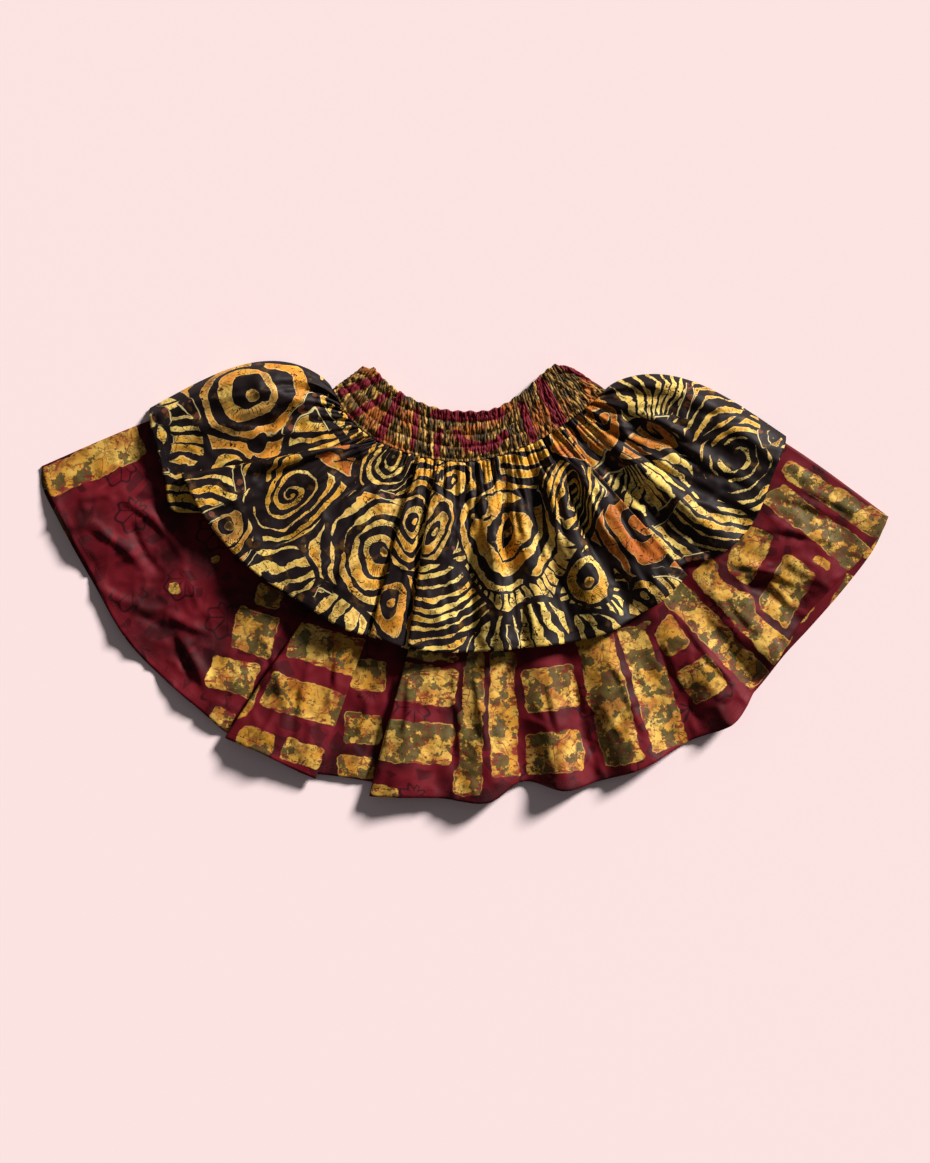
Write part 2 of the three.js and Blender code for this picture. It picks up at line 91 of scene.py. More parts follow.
CRINKLE_HEIGHT = 2.2       # finer puckers between the ribs
HEADER_RIPPLE = 1.6
SHALLOW, DEEP = 2.0, 9.5   # most that a crease may dip, near a turned fold and away from it
NEAR_FOLD = (20, 42)       # distances over which it goes from one to the other
FAR, HIDDEN = 60.0, 1e4    # distances that count as out of reach, and as on another run
UPPER_LENGTH, LOWER_LENGTH = 250, 390      # cut lengths, from seam to hem
HEM_DEPTH = 9.0            # width of the turned-up hem
HEM_RISE = 0.35
STITCH_PITCH = 4.0
PRINT_WINDOW = 22          # columns over which the print keeps its place


def table(text, **defaults):
    """Rows of numbers under a line of column names. A row may leave out the last columns that
    have a default, and what follows a # says what the row is."""
    names, *lines = text.strip().splitlines()
    rows = []
    for line in lines:
        numbers = map(float, line.split("#")[0].split())
        rows.append(SimpleNamespace(**{**defaults, **dict(zip(names.split(), numbers))}))
    return rows


# ---- waistband: stations from the left side fold round to the right one ----
WAISTBAND = table("""
seam_x seam_y top_x top_y
-155 225 -110 258
-136 192 -103 246
-110 169 -90 232
-79 154 -73 220
-48 145 -49 208
-23 141 -24 201
1 140 1 199
29 144 27 200
58 153 49 209
88 166 70 224
114 183 87 240
139 201 102 252
164 224 114 258
""")

# ---- fold lines of the two front panels, in the order of the cloth from left to right ----
# seam: place along the waist seam; middle, hem and waist: height of the cloth there;
# bulge: sideways bow; over: height gained or lost at a turn of the cloth, 0 on a soft line
UPPER_FRONT = table("""
seam hem_x hem_y middle hem bulge over waist
0 -369 203 1.9 1.9 41 0 2.4  # left side
0.014 -369 197 15 7.5 39 0 5  # left roll
0.045 -367 182 31 16 32  # left crest
0.095 -359 154 24 17 18  # left flank
0.14 -350 116 13 13 8  # left dip
0.17 -342 84 11.5 12  # left tip
0.194 -308 80 11.5 11.5 -2 3  # lap under
0.212 -329 121 11.5 11.5 -3 9  # lap edge
0.229 -307 82 23 30  # lap face
0.25 -278 42 18 23  # flank dip 1
0.272 -238 6 23 33  # flank ridge 1
0.294 -193 -23 18 24  # flank dip 2
0.318 -141 -55 22 31  # flank ridge 2
0.332 -109 -65 15 17.5  # tuck dip
0.345 -86 -71 14 16.5 0 3  # tuck under
0.359 -107 -63 14 16.5 0 7  # tuck edge
0.373 -86 -72 22 27  # tuck face
0.388 -64 -79 14 16.5  # pleat dip
0.402 -39 -82 13.5 15.5 0 3  # pleat under
0.416 -63 -76 13.5 15.5 0 7.5  # pleat edge
0.432 -41 -82 24 28  # pleat face
0.465 -15 -83 22 25  # centre ridge
0.51 12 -82 13 15.5  # centre valley
0.56 47 -80 26 27  # centre fold
0.605 70 -77 13 15  # right valley 1
0.645 94 -75 24 26  # right ridge 1
0.685 129 -70 12.5 14.5  # right valley 2
0.72 166 -60 25 27  # right ridge 2
0.755 202 -39 13 13  # right valley 3
0.785 229 -23 24 26  # right ridge 3
0.806 258 6 13 12.5 0 -3.2  # wing edge
0.826 235 9 13 12.5 0 -3  # wing under
0.842 260 22 11.5 12  # wing out
0.86 288 27 11 12  # right hollow
0.885 308 39 28 24  # right ridge 4
0.91 331 61 14 13  # right dip 1
0.93 347 91 19 18 -6  # right ridge 5
0.948 357 118 17 14 -12  # right dip 2
0.963 366 141 23 16 -21  # right flank
0.977 372 155 27 12 -29  # right crest
0.99 375 164 14 7.5 -34 0 5  # right roll
1 376 170 1.9 1.9 -36 0 2.4  # right side
""", bulge=0, over=0, waist=5.6)

LOWER_FRONT = table("""
seam hem_x hem_y middle hem bulge over waist
0.04 -496 135 3.2 1.9 32  # left side
0.06 -490 110 3.4 2.6 25  # left corner
0.09 -465 60 5 9 12  # left panel 1
0.13 -434 1 3.4 2.2 4  # left panel 2
0.17 -409 -48 5.5 6  # left panel 3
0.22 -369 -98 3.6 2.2  # left panel 4
0.27 -301 -158 5.5 8  # crease
0.295 -279 -177 3.2 2.6  # flap dip
0.31 -252 -191 3.2 2.6 0 2.6  # flap under
0.335 -278 -184 3.2 2.6 0 6.5  # flap edge
0.355 -238 -200 12 18  # flap crown
0.375 -205 -217 9 10.5  # flap notch
0.395 -176 -230 3.2 2.6 0 -2.8  # flap far edge
0.415 -194 -223 3.2 2.6 0 -2.6  # flap far under
0.435 -141 -229 3.2 2.6  # shade valley
0.455 -81 -240 3.2 2.6 0 2.6  # pleat under
0.48 -109 -251 3.2 2.6 0 6.5  # pleat edge
0.5 -76 -252 11 20  # pleat face 1
0.52 -29 -253 6.5 9  # pleat face 2
0.545 27 -258 11 22  # ridge 1
0.58 68 -234 3.2 2.4  # valley 1
0.615 117 -244 11 21  # ridge 2
0.65 158 -233 3.2 3  # valley 2
0.685 205 -219 11 19  # ridge 3
0.73 264 -186 3.2 2.4  # valley 3
0.77 314 -165 8 18  # ridge 4
0.81 342 -123 3.2 3  # valley 4
0.845 364 -93 7.5 16  # side fold
0.87 393 -48 3.4 2.6 -4  # side dip
0.895 437 1 5.5 9 -12  # side ridge
0.92 472 36 3.4 2.6 -24  # side dip 2
0.94 490 62 3.4 2.4 -37  # right corner
0.96 496 76 3.2 1.9 -44  # right side
""", bulge=0, over=0, waist=3.2)

# ---- stations of the two plain back panels ----
# lap: share of the depth where the upper tier's back hem lies under the lower tier's panel
UPPER_BACK = table("""
seam hem_x hem_y bulge
0 -369 203 41
0.05 -360 156 26
0.12 -343 107 10
0.2 -305 71 0
0.28 -238 9 0
0.36 -141 -48 0
0.45 -29 -75 0
0.55 64 -74 0
0.67 158 -57 0
0.77 223 -22 0
0.86 288 32 0
0.93 348 101 -10
0.97 369 146 -24
1 376 170 -36
""")

LOWER_BACK = table("""
seam hem_x hem_y bulge lap
0.04 -496 135 32 0.66
0.06 -496 114 25 0.66
0.09 -475 69 12 0.66
0.13 -436 -1 4 0.66
0.17 -393 -73 0 0.64
0.22 -322 -139 0 0.62
0.28 -246 -189 0 0.61
0.35 -170 -217 0 0.6
0.42 -88 -236 0 0.59
0.5 -6 -245 0 0.58
0.57 76 -222 0 0.6
0.64 158 -220 0 0.6
0.7 217 -203 0 0.6
0.75 275 -170 0 0.61
0.8 328 -140 0 0.62
0.85 377 -83 0 0.64
0.88 405 -53 -4 0.65
0.905 450 -1 -14 0.66
0.935 480 40 -32 0.66
0.96 496 76 -44 0.66
""")


# ---- small helpers ----
def smooth(value, low, high):
    share = np.clip((value - low) / (high - low), 0, 1)
    return share * share * (3 - 2 * share)


def mix(a, b, share):
    return a + (b - a) * share


def unit(vectors):
    return vectors / np.maximum(np.linalg.norm(vectors, axis=-1, keepdims=True), 1e-9)


def rightward(along):
    """The direction in the plane that points to the right of this one."""
    return np.stack([along[..., 1], -along[..., 0], 0 * along[..., 0]], axis=-1)


def travelled(path):
    """Length along a path of points, from its start to every point."""
    return np.concatenate([[0], np.cumsum(np.linalg.norm(np.diff(path, axis=0), axis=1))])


def soft_noise(x, y, size, seed):
    """A smooth random height, about -1 to 1, that changes over size millimetres."""
    knots = 97
    lattice = np.random.default_rng(seed).uniform(-1, 1, (knots, knots))
    u, v = x / size, y / size
    i, j = np.floor(u).astype(int), np.floor(v).astype(int)
    a, b = smooth(u - i, 0, 1), smooth(v - j, 0, 1)

    def knot(di, dj):
        return lattice[(i + di) % knots, (j + dj) % knots]

    return mix(mix(knot(0, 0), knot(1, 0), a), mix(knot(0, 1), knot(1, 1), a), b)


def curve_span(p0, p1, p2, p3, s):
    """Points at shares s between p1 and p2 on a centripetal curve through all four."""
    def root(a, b):
        return np.sqrt(np.maximum(np.linalg.norm(b - a, axis=-1, keepdims=True), 1e-6))

    g0, g1, g2 = root(p0, p1), root(p1, p2), root(p2, p3)
    slope1 = ((p1 - p0) / g0 - (p2 - p0) / (g0 + g1) + (p2 - p1) / g1) * g1
    slope2 = ((p2 - p1) / g1 - (p3 - p1) / (g1 + g2) + (p3 - p2) / g2) * g1
    return ((2 * s**3 - 3 * s**2 + 1) * p1 + (s**3 - 2 * s**2 + s) * slope1
            + (3 * s**2 - 2 * s**3) * p2 + (s**3 - s**2) * slope2)


def interval_shares(counts):
    """For every interval between two stops: its number, and its columns as shares of it."""
    for interval, count in enumerate(counts):
        yield interval, np.arange(min(interval, 1), count + 1) / count


def smooth_run(stops, counts, level):
    """Columns of points on the curve through stops, each an array of one point a depth line.
    With level set, no point dips under the lower of its two neighbouring stops."""
    ends = [2 * stops[0] - stops[1], *stops, 2 * stops[-1] - stops[-2]]
    columns = []
    for interval, shares in interval_shares(counts):
        p0, p1, p2, p3 = (ends[interval + k][:, None, :] for k in range(4))
        points = curve_span(p0, p1, p2, p3, shares[None, :, None])
        if level:
            points[..., 2] = np.maximum(points[..., 2], np.minimum(p1[..., 2], p2[..., 2]))
        columns.append(points)
    return np.concatenate(columns, axis=1)


# ---- the two curves of the waistband ----
STATIONS = len(WAISTBAND) - 1


def band_curve(xs, ys):
    """A function of the station, 0 to STATIONS, that gives points on the curve."""
    stops = [np.array([[x, y, 0.0]]) for x, y in zip(xs, ys)]
    fine = smooth_run(stops, [200] * STATIONS, False)[0]
    station = np.linspace(0, STATIONS, len(fine))

    def at(where):
        return np.stack([np.interp(where, station, fine[:, k]) for k in range(3)], axis=-1)

    return at


seam_at_station = band_curve([r.seam_x for r in WAISTBAND], [r.seam_y for r in WAISTBAND])
top_at_station = band_curve([r.top_x for r in WAISTBAND], [r.top_y for r in WAISTBAND])

fine_station = np.linspace(0, STATIONS, 4001)
fine_length = travelled(seam_at_station(fine_station))
SEAM_LENGTH = fine_length[-1]


def seam_point(share):
    """Points of the waist seam at shares of its length, off the band by the sewing gap."""
    station = np.interp(np.clip(share, 0, 1) * SEAM_LENGTH, fine_length, fine_station)
    along = unit(seam_at_station(np.minimum(station + 0.02, STATIONS))
                 - seam_at_station(np.maximum(station - 0.02, 0)))
    return seam_at_station(station) + SEAM_GAP * rightward(along)


# ---- folded front panels ----
def line_height(row, depths, middle):
    upper = mix(row.waist, row.middle, smooth(depths, 0, middle))
    lower = mix(row.middle, row.hem, smooth(depths, middle, 1))
    return np.where(depths < middle, upper, lower)


def line_points(row, depths, seam_shift=0.0):
    start = seam_point(np.array(row.seam + seam_shift))
    end = np.array([row.hem_x, row.hem_y, 0.0])
    bow = row.bulge * np.sin(np.pi * depths**BULGE_POWER)
    return start + (end - start) * depths[:, None] + rightward(unit(end - start)) * bow[:, None]


def across_line(row):
    start, end = line_points(row, np.array([0.0, 1.0]))
    return -rightward(unit(end - start))


def fold_levels(panel):
    """Heights of every fold line before and after its turn, and how far each turn rounds out."""
    growth = smooth(panel.depths, *panel.turn)
    edge_growth = growth * mix(EARLY_EDGE, 1, smooth(panel.depths, *panel.edge_rise))
    levels = []
    for row in panel.rows:
        height = line_height(row, panel.depths, panel.middle)
        levels.append(SimpleNamespace(before=height, after=height, rounding=0 * height))
    for index, (row, following) in enumerate(zip(panel.rows, panel.rows[1:])):
        if row.over == 0 or following.over == 0:
            continue
        # the cloth climbs from the lower line over the upper one to the face, to either side
        lowest, way = (index, 1) if row.over > 0 else (index + 1, -1)
        lower, upper, face = (levels[lowest + way * k] for k in range(3))
        base = lower.before
        between = base + growth * abs(panel.rows[lowest].over)
        crest = between + edge_growth * abs(panel.rows[lowest + way].over)
        tilt = growth * FOLD_TILT / 2
        lower.before, lower.after = (base, between - tilt)[::way]
        upper.before, upper.after = (between + tilt, crest)[::way]
        face.before = face.after = np.maximum(face.before, crest)
        apart = (line_points(row, panel.depths) - line_points(following, panel.depths)) @ across_line(row)
        lapped = np.clip((apart + TURN_SPREAD * (1 - panel.depths)) / FOLD_WALL, 0, 1)
        lower.rounding = upper.rounding = lapped
    return levels


def columns_between(row, following, hem_step, seam_step):
    hem = math.hypot(following.hem_x - row.hem_x, following.hem_y - row.hem_y)
    waist = (following.seam - row.seam) * SEAM_LENGTH
    return max(1, math.ceil(max(hem / hem_step, waist / seam_step)))


def folded_grid(panel):
    """The middle of the folded cloth as grid[line, column], with each column's seam share and
    its run, the number of turns that the cloth has made before it."""
    depths, levels = panel.depths, fold_levels(panel)
    half_turn = TURN_SPREAD / 2 / SEAM_LENGTH
    pieces, seams, runs = [], [], []

    def finish_run(stops, places, counts, run):
        pieces.append(smooth_run(stops, counts, True))
        for interval, shares in interval_shares(counts):
            seams.extend(mix(places[interval], places[interval + 1], shares))
            runs.extend([run] * len(shares))

    def stop(row, shift, height):
        points = line_points(row, depths, shift)
        points[:, 2] = height
        return points

    stops, places, counts, run, side = [], [], [], 0, 1
    for index, row in enumerate(panel.rows):
        if index > 0:
            counts.append(columns_between(panel.rows[index - 1], row, panel.hem_step, panel.seam_step))
        level = levels[index]
        if row.over == 0:
            stops.append(stop(row, 0, level.before))
            places.append(row.seam)
            continue
        before, after = stop(row, -half_turn, level.before), stop(row, half_turn, level.after)
        finish_run([*stops, before], [*places, row.seam - half_turn], counts, run)
        reach = side * np.abs(after[:, 2] - before[:, 2]) / 2 * level.rounding
        for step in range(1, TURN_STEPS):
            angle = math.pi * step / TURN_STEPS
            turn = mix(before, after, step / TURN_STEPS)
            turn[:, 2] = mix(before[:, 2], after[:, 2], (1 - math.cos(angle)) / 2)
            turn += across_line(row) * (reach * math.sin(angle))[:, None]
            pieces.append(turn[:, None, :])
            seams.append(row.seam + half_turn * (2 * step / TURN_STEPS - 1))
            runs.append(run + step / TURN_STEPS)
        run += 1
        side = -side
        stops, places, counts = [after], [row.seam + half_turn], []
    finish_run(stops, places, counts, run)
    grid, seams = np.concatenate(pieces, axis=1), np.array(seams)
    settle(grid, depths, seams)
    return grid, seams, np.round(np.array(runs)).astype(int)


def settle(grid, depths, seams):
    """Set the seam end of every column exactly on the seam; the rest follows by its depth."""
    shift = seam_point(seams) - grid[0]
    shift[:, 2] = 0
    grid += shift[None] * (1 - depths)[:, None, None]


def add_gathers(grid, panel, seams):
    """Gathers of uneven height and length stand up at the seam, with finer ones between them."""
    place = travelled(grid[0])
    from_sides = smooth(np.minimum(place, place[-1] - place), 2, 14)
    turns = place / GATHER_PITCH + 0.35 * np.sin(place / 31) + 0.16 * np.sin(place / 11)
    random = np.random.default_rng(GATHER_SEED)
    gather = np.floor(turns).astype(int)
    reach = random.uniform(*GATHER_REACH, gather.max() + 1)[gather]
    height = GATHER_HEIGHT * random.uniform(0.5, 1.0, gather.max() + 1)[gather]
    # a gather stays short where the cloth turns back on itself
    turned = np.array([row.seam for row in panel.rows if row.over])
    clear = np.min(np.abs(seams[:, None] - turned[None]), axis=1)
    reach = np.minimum(reach, GATHER_REACH[0] + 0.5 * smooth(clear, 0.012, 0.05))
    wave = ((1 - np.cos(TURN * turns)) / 2) ** GATHER_ROUND
    depths = panel.depths[:, None]
    grid[..., 2] += (height * wave * from_sides)[None] * (1 - smooth(depths, 0, reach[None]))
    fine = np.sin(TURN * place / SMALL_PITCH + 2.2 * np.sin(place / 13)) * 0.5 + 0.5
    fade = (1 - smooth(depths, 0, SMALL_REACH)) * smooth(depths, -0.01, 0.02)
    grid[..., 2] += SMALL_GATHER * (fine * from_sides)[None] * fade


# ---- creases and wrinkles: heights that every layer at the same place shares ----
# from x0, y0 to x1, y1; bend: how far its middle bows sideways; lean: above 0 it is steep on
# its right side and soft on its left one; width: from its middle to where it ends;
# height: of the ridge, or depth of the trough when negative
UPPER_CREASES = table("""
x0 y0 x1 y1 bend lean width height
43 150 45 -16 2 0.4 9 -11.5  # sharp fold left of the raised pleat
55 148 60 6 -2 -0.5 10 4.6
82 152 88 14 1 -0.5 13 -11  # its neighbour on the right
98 148 112 30 -2 -0.5 9 4.4
26 128 -4 30 4 0.5 9 3.9
14 138 -20 52 3 -0.3 6 -3.9
4 40 8 -60 3 0.3 8 -3.3
62 20 66 -62 -3 0.4 9 3.3
132 148 176 36 -5 -0.5 10 6.1  # folds of the wing
120 142 154 24 -5 0.3 10 -9
104 130 124 20 -3 0.2 6 -3.6
176 130 240 36 -5 -0.4 9 4.2
164 114 214 24 -4 0.3 7 -4.5
196 40 224 -20 -3 0.4 8 -3
-60 146 -112 90 -4 0.4 8 4.5
-44 138 -96 60 -4 -0.3 7 -4.8
-78 134 -160 82 -5 -0.4 9 -8
-64 100 -108 14 -4 0.3 8 3.3
-130 168 -268 138 7 0.5 12 6.4  # the roll above the long fold of the left flank
-140 156 -260 122 7 0.2 9 -9.5
-172 190 -290 192 9 -0.4 10 -4.5
-160 208 -250 234 7 0.4 12 4.2
-180 176 -240 164 -4 0.4 9 3.3
-232 118 -304 86 6 0.4 9 3.9
-180 70 -256 24 5 -0.3 10 -7
-150 34 -208 -18 4 0.4 10 5
-120 60 -176 0 4 0.3 8 -3
186 198 272 156 6 0.4 10 6.7  # ridge and valley right of the wing
188 182 282 128 7 -0.2 8 -9.5
180 168 262 108 5 0.5 8 3.9
176 208 258 218 -6 0.4 10 4.2
270 132 338 100 5 -0.3 9 -4.5
300 178 356 146 4 0.4 10 3.6
262 98 318 62 5 0.4 9 3.9
246 84 276 30 4 0.2 7 -3.3
""")

LOWER_CREASES = table("""
x0 y0 x1 y1 bend lean width height
-338 -60 -302 -130 3 0.4 9 6.1  # crease of the left panel
-350 -56 -316 -126 3 -0.2 7 -3.5
-408 100 -326 20 10 0.5 11 4.9
-392 76 -352 4 -6 -0.2 8 -3.5
-446 66 -376 16 6 0.4 10 4.3
-372 98 -344 36 5 0.3 8 -3.5
-436 -2 -346 -34 -6 -0.4 11 4.1
-384 -38 -338 -70 4 0.3 9 -3.2
-460 96 -396 112 -4 0.4 9 3.5
-300 -60 -354 -32 4 -0.3 9 3.8
-288 20 -338 -10 5 0.3 9 3.5
-238 -56 -210 -156 3 0.4 10 3.5
-186 -92 -202 -196 -4 -0.3 9 -3.2
-150 -80 -164 -166 3 0.4 9 3.2
-66 -88 -74 -208 3 0.4 9 3.5
-20 -92 -12 -226 2 -0.3 8 -3.8
10 -90 28 -204 -2 0.3 7 4.6
96 -104 114 -188 -3 0.4 9 3.8
128 -106 152 -214 -3 -0.3 8 -3.8
176 -88 216 -190 -4 0.4 10 4.1
226 -66 260 -138 -4 -0.3 8 -3.5
250 -38 322 -124 -5 0.4 10 4.3
300 -16 356 -76 -5 -0.3 9 -3.5
300 20 404 -14 8 0.4 9 5.8  # the pinch at the right of the upper hem
310 8 396 30 -6 -0.3 8 4.6
322 0 380 -34 4 0.2 7 -3.8
340 62 446 38 6 0.4 10 4.3
350 98 456 54 6 -0.3 9 -3.5
380 112 474 68 5 0.4 9 3.8
400 -22 446 12 4 0.3 9 3.2
""")

FAN_X, FAN_Y = 5.0, 262.0       # the folds spread from about here
FAN_ARC = 300.0                 # radius at which an angle of the fan is measured as a length


def small_creases(seed, count, nearest, farthest):
    """Short creases at random places, most of them along the spread of the folds."""
    random = np.random.default_rng(seed)
    rows = []
    for _ in range(count):
        angle, out = random.uniform(-1.75, 1.75), random.uniform(nearest, farthest)
        heading, length = angle + random.normal(0, 0.5), random.uniform(18, 62)
        x0, y0 = FAN_X + out * math.sin(angle), FAN_Y - out * math.cos(angle)
        rows.append(SimpleNamespace(
            x0=x0, y0=y0, x1=x0 + length * math.sin(heading), y1=y0 - length * math.cos(heading),
            bend=random.uniform(-5, 5), lean=random.uniform(-0.6, 0.6),
            width=random.uniform(4.5, 9), height=random.choice([-1, 1, 1]) * random.uniform(0.8, 2.8)))
    return rows


def crease_heights(x, y, creases):
    total = np.zeros_like(x)
    for crease in creases:
        along = np.array([crease.x1 - crease.x0, crease.y1 - crease.y0], float)
        length = np.linalg.norm(along)
        along /= length
        dx, dy = x - crease.x0, y - crease.y0
        share = (dx * along[0] + dy * along[1]) / length
        aside = dy * along[0] - dx * along[1]
        aside = aside - crease.bend * np.sin(np.pi * np.clip(share, 0, 1))
        width = crease.width * np.where(aside > 0, 1 + crease.lean, 1 - crease.lean)
        taper = smooth(share, -0.05, 0.3) * (1 - smooth(share, 0.6, 1.05))
        total += crease.height * taper * np.exp(-(aside / width * 1.6) ** 2)
    return total


def sharp_ridge(x, y, size, seed):
    """A narrow ridge wherever the noise passes through zero."""
    return np.maximum(1 - 2.4 * np.abs(soft_noise(x, y, size, seed)), 0) ** 1.3


def swells(x, y, seed):
    """Uneven waves that run out from the waist, over broader dents, with crisp small folds."""
    arc, out = FAN_ARC * np.arctan2(x - FAN_X, FAN_Y - y), np.hypot(x - FAN_X, y - FAN_Y)
    waves = soft_noise(arc, out * 0.22, 17, seed) + 0.6 * soft_noise(arc, out * 0.35, 8.5, seed + 1)
    crisp = 1.7 * sharp_ridge(arc, out * 0.3, 24, seed + 4)
    crisp += 1.5 * sharp_ridge(x + 0.5 * y, y - 0.5 * x, 34, seed + 5)
    crisp += 0.9 * sharp_ridge(x - 0.4 * y, y + 0.4 * x, 19, seed + 6)
    dents = 1.5 * soft_noise(x, y, 44, seed + 2) + 0.8 * soft_noise(x, y, 19, seed + 3)
    return 2.0 * waves + dents + crisp - 1.0


def segment_gap(x, y, x0, y0, x1, y1):
    """Distance to a straight line from one end to the other."""
    dx, dy = x1 - x0, y1 - y0
    share = np.clip(((x - x0) * dx + (y - y0) * dy) / (dx * dx + dy * dy), 0, 1)
    return np.hypot(x - x0 - share * dx, y - y0 - share * dy)


def add_relief(grid, panel, lift):
    """Add the creases. No trough goes under the panel's least height, and near a turned fold
    all stay shallow, so that the layers there keep apart."""
    x, y, base = (grid[..., k].copy() for k in range(3))
    gaps = [np.full_like(x, FAR)]
    for row in panel.rows:
        if row.over:
            start = seam_point(np.array(row.seam))
            gaps.append(segment_gap(x, y, start[0], start[1], row.hem_x, row.hem_y))
    room = smooth(np.min(gaps, axis=0), *NEAR_FOLD)
    lift = np.maximum(lift, -SHALLOW - (DEEP - SHALLOW) * room)
    grid[..., 2] = np.maximum(base + lift, np.minimum(base, panel.least))


def print_shift(grid, gain):
    """How far the print has moved across the folds, because every fold takes up cloth."""
    step = np.diff(grid, axis=1)
    flat = np.hypot(step[..., 0], step[..., 1])
    taken = np.hypot(flat, gain * step[..., 2]) - flat
    taken = np.concatenate([np.zeros((len(grid), 1)), np.cumsum(taken, axis=1)], axis=1)
    padded = np.pad(taken, ((0, 0), (PRINT_WINDOW, PRINT_WINDOW + 1)), "reflect", reflect_type="odd")
    total = np.cumsum(padded, axis=1)
    span = 2 * PRINT_WINDOW + 1
    evened = (total[:, span:] - total[:, :-span]) / span
    along = unit(np.gradient(grid[..., :2], axis=1))
    return (taken - evened)[..., None] * along


# ---- meshes ----
def add_piece(name, points, faces):
    mesh = bpy.data.meshes.new(name)
    mesh.from_pydata(points, [], faces)
    mesh.update()
    mesh.shade_smooth()
    return add_object(name, mesh)


def sheet_mesh(name, grid, thickness, fields, level_seam=True):
    """A closed thin sheet on the grid of middle points; fields hold three values a point."""
    lines, columns = grid.shape[:2]
    normals = unit(np.cross(np.gradient(grid, axis=0), np.gradient(grid, axis=1)))
    if level_seam:
        normals[0] = (0, 0, 1)
    half = thickness / 2
    points = np.concatenate([grid + normals * half, grid - normals * half]).reshape(-1, 3) * MM
    index = np.arange(lines * columns).reshape(lines, columns)
    a, b, c, d = index[:-1, :-1], index[1:, :-1], index[1:, 1:], index[:-1, 1:]
    top = np.stack([a, b, c, d], axis=-1).reshape(-1, 4)
    under = top[:, ::-1] + lines * columns
    rim = np.concatenate([index[:, 0], index[-1, 1:], index[-2::-1, -1], index[0, -2:0:-1]])
    following = np.roll(rim, -1)
    wall = np.stack([rim, rim + lines * columns, following + lines * columns, following], axis=-1)
    piece = add_piece(name, points.tolist(), np.concatenate([top, under, wall]).tolist())
    for field, parts in fields.items():
        values = np.stack([np.broadcast_to(part, (lines, columns)) for part in parts], axis=-1)
        layer = piece.data.attributes.new(field, "FLOAT_VECTOR", "POINT")
        layer.data.foreach_set("vector", np.concatenate([values, values]).astype(np.float32).ravel())
    return piece


# ---- the print of the upper tier: rings, spirals and rays in bands of gold on a dark ground ----
# run: which stretch of the folded cloth shows it, counted in turns of the cloth
# x, y, reach: middle and size of the area that it fills
# core_x, core_y: middle of its lines; pitch: from line to line; gold: share of the pitch
# warm: 0 yellow to 1 rust; squash, angle: its lines are drawn out along the angle
# rim: from here out the lines are rays; spokes: rays in a full turn
# twist: 1 makes rings into a spiral
MOTIFS = table("""
run x y reach core_x core_y pitch gold warm squash angle rim spokes twist
0 -250 206 70 -246 214 27 0.52 0.55 0.8 15
0 -322 172 28 -322 60 13 0.55 0.05
0 -354 168 12 -340 168 16 0.7 0.05
0 -276 128 26 -268 104 13 0.34 0
0 -188 174 30 -170 190 22 0.62 0.1 0.5 30
0 -334 96 20 -334 0 14 0.5 0
0 -150 200 20 -150 200 18 0.5 0.2 0.6 60
1 -110 160 90 -110 160 40 0.7 0.9 0.4 20
2 -204 106 44 -202 104 15.5 0.36 0.1 0.62 42 400 20 1
2 -298 104 22 -298 0 15 0.34 0
2 -276 66 17 -276 66 17 0.66 0.7 0.7 60
2 -104 34 60 -98 32 17.5 0.56 0.3 0.86 80
2 -214 -8 24 -98 32 20 0.46 0.15 1 0 0 40
2 -150 -38 24 -98 32 20 0.5 0.3 1 0 0 34
2 -92 138 28 -84 146 13 0.34 0.1 0.55 50
2 -160 164 32 -160 162 190 0.66 1 0.16 6
3 -90 60 90 -90 60 18 0.5 0.4
4 -84 -30 36 -86 -30 24 0.52 0.5 0.6 90
4 -72 60 44 -60 70 15 0.46 0.2 0.5 80
5 -50 60 90 -50 60 18 0.5 0.4
6 53 50 66 50 56 20.5 0.64 0.25 0.88 88 66 46
6 92 -62 24 50 56 20 0.56 0 1 0 0 50
6 150 -48 24 50 56 20 0.56 0 1 0 0 54
6 30 -72 16 50 56 20 0.52 0 1 0 0 46
6 -30 -28 44 -42 26 13.5 0.42 0 0.85 20
6 -32 62 26 -34 60 19 0.58 0.35 0.42 76
6 4 124 28 -18 112 15 0.5 0.1 0.8 40
6 60 140 22 60 210 14 0.46 0.1
6 122 96 38 120 98 14.5 0.36 0 0.46 82
6 160 -6 34 148 6 19 0.58 0.1 1 0 30 22
6 206 60 46 204 62 36 0.74 1 0.52 118
6 218 -18 20 218 -16 26 0.6 0.3 0.4 140
6 136 164 18 136 166 28 0.8 1 0.7 160
6 186 140 26 96 186 14 0.5 0 1 0 0 54
7 240 60 90 240 60 18 0.5 0.4
8 316 142 42 316 142 12.5 0.32 0 0.9 0 400 20 1
8 272 66 40 322 140 13 0.42 0 0.9 30
8 222 214 40 226 168 14 0.46 0.05 1 0 0 32
8 282 196 30 316 142 14 0.46 0
8 222 172 24 222 172 24 0.7 0.85 0.34 150
8 230 116 26 180 168 14 0.56 0 1 0 0 44
8 356 164 14 356 164 10 0.5 0.2
8 274 18 13 274 18 13 0.6 0.8 0.6 10
8 160 192 16 160 192 24 0.7 0.9 0.6 120
""", squash=1, angle=0, rim=400, spokes=20, twist=0)

WARP, WARP_SIZE = 6, 38        # how far a line of the print strays, and over what length


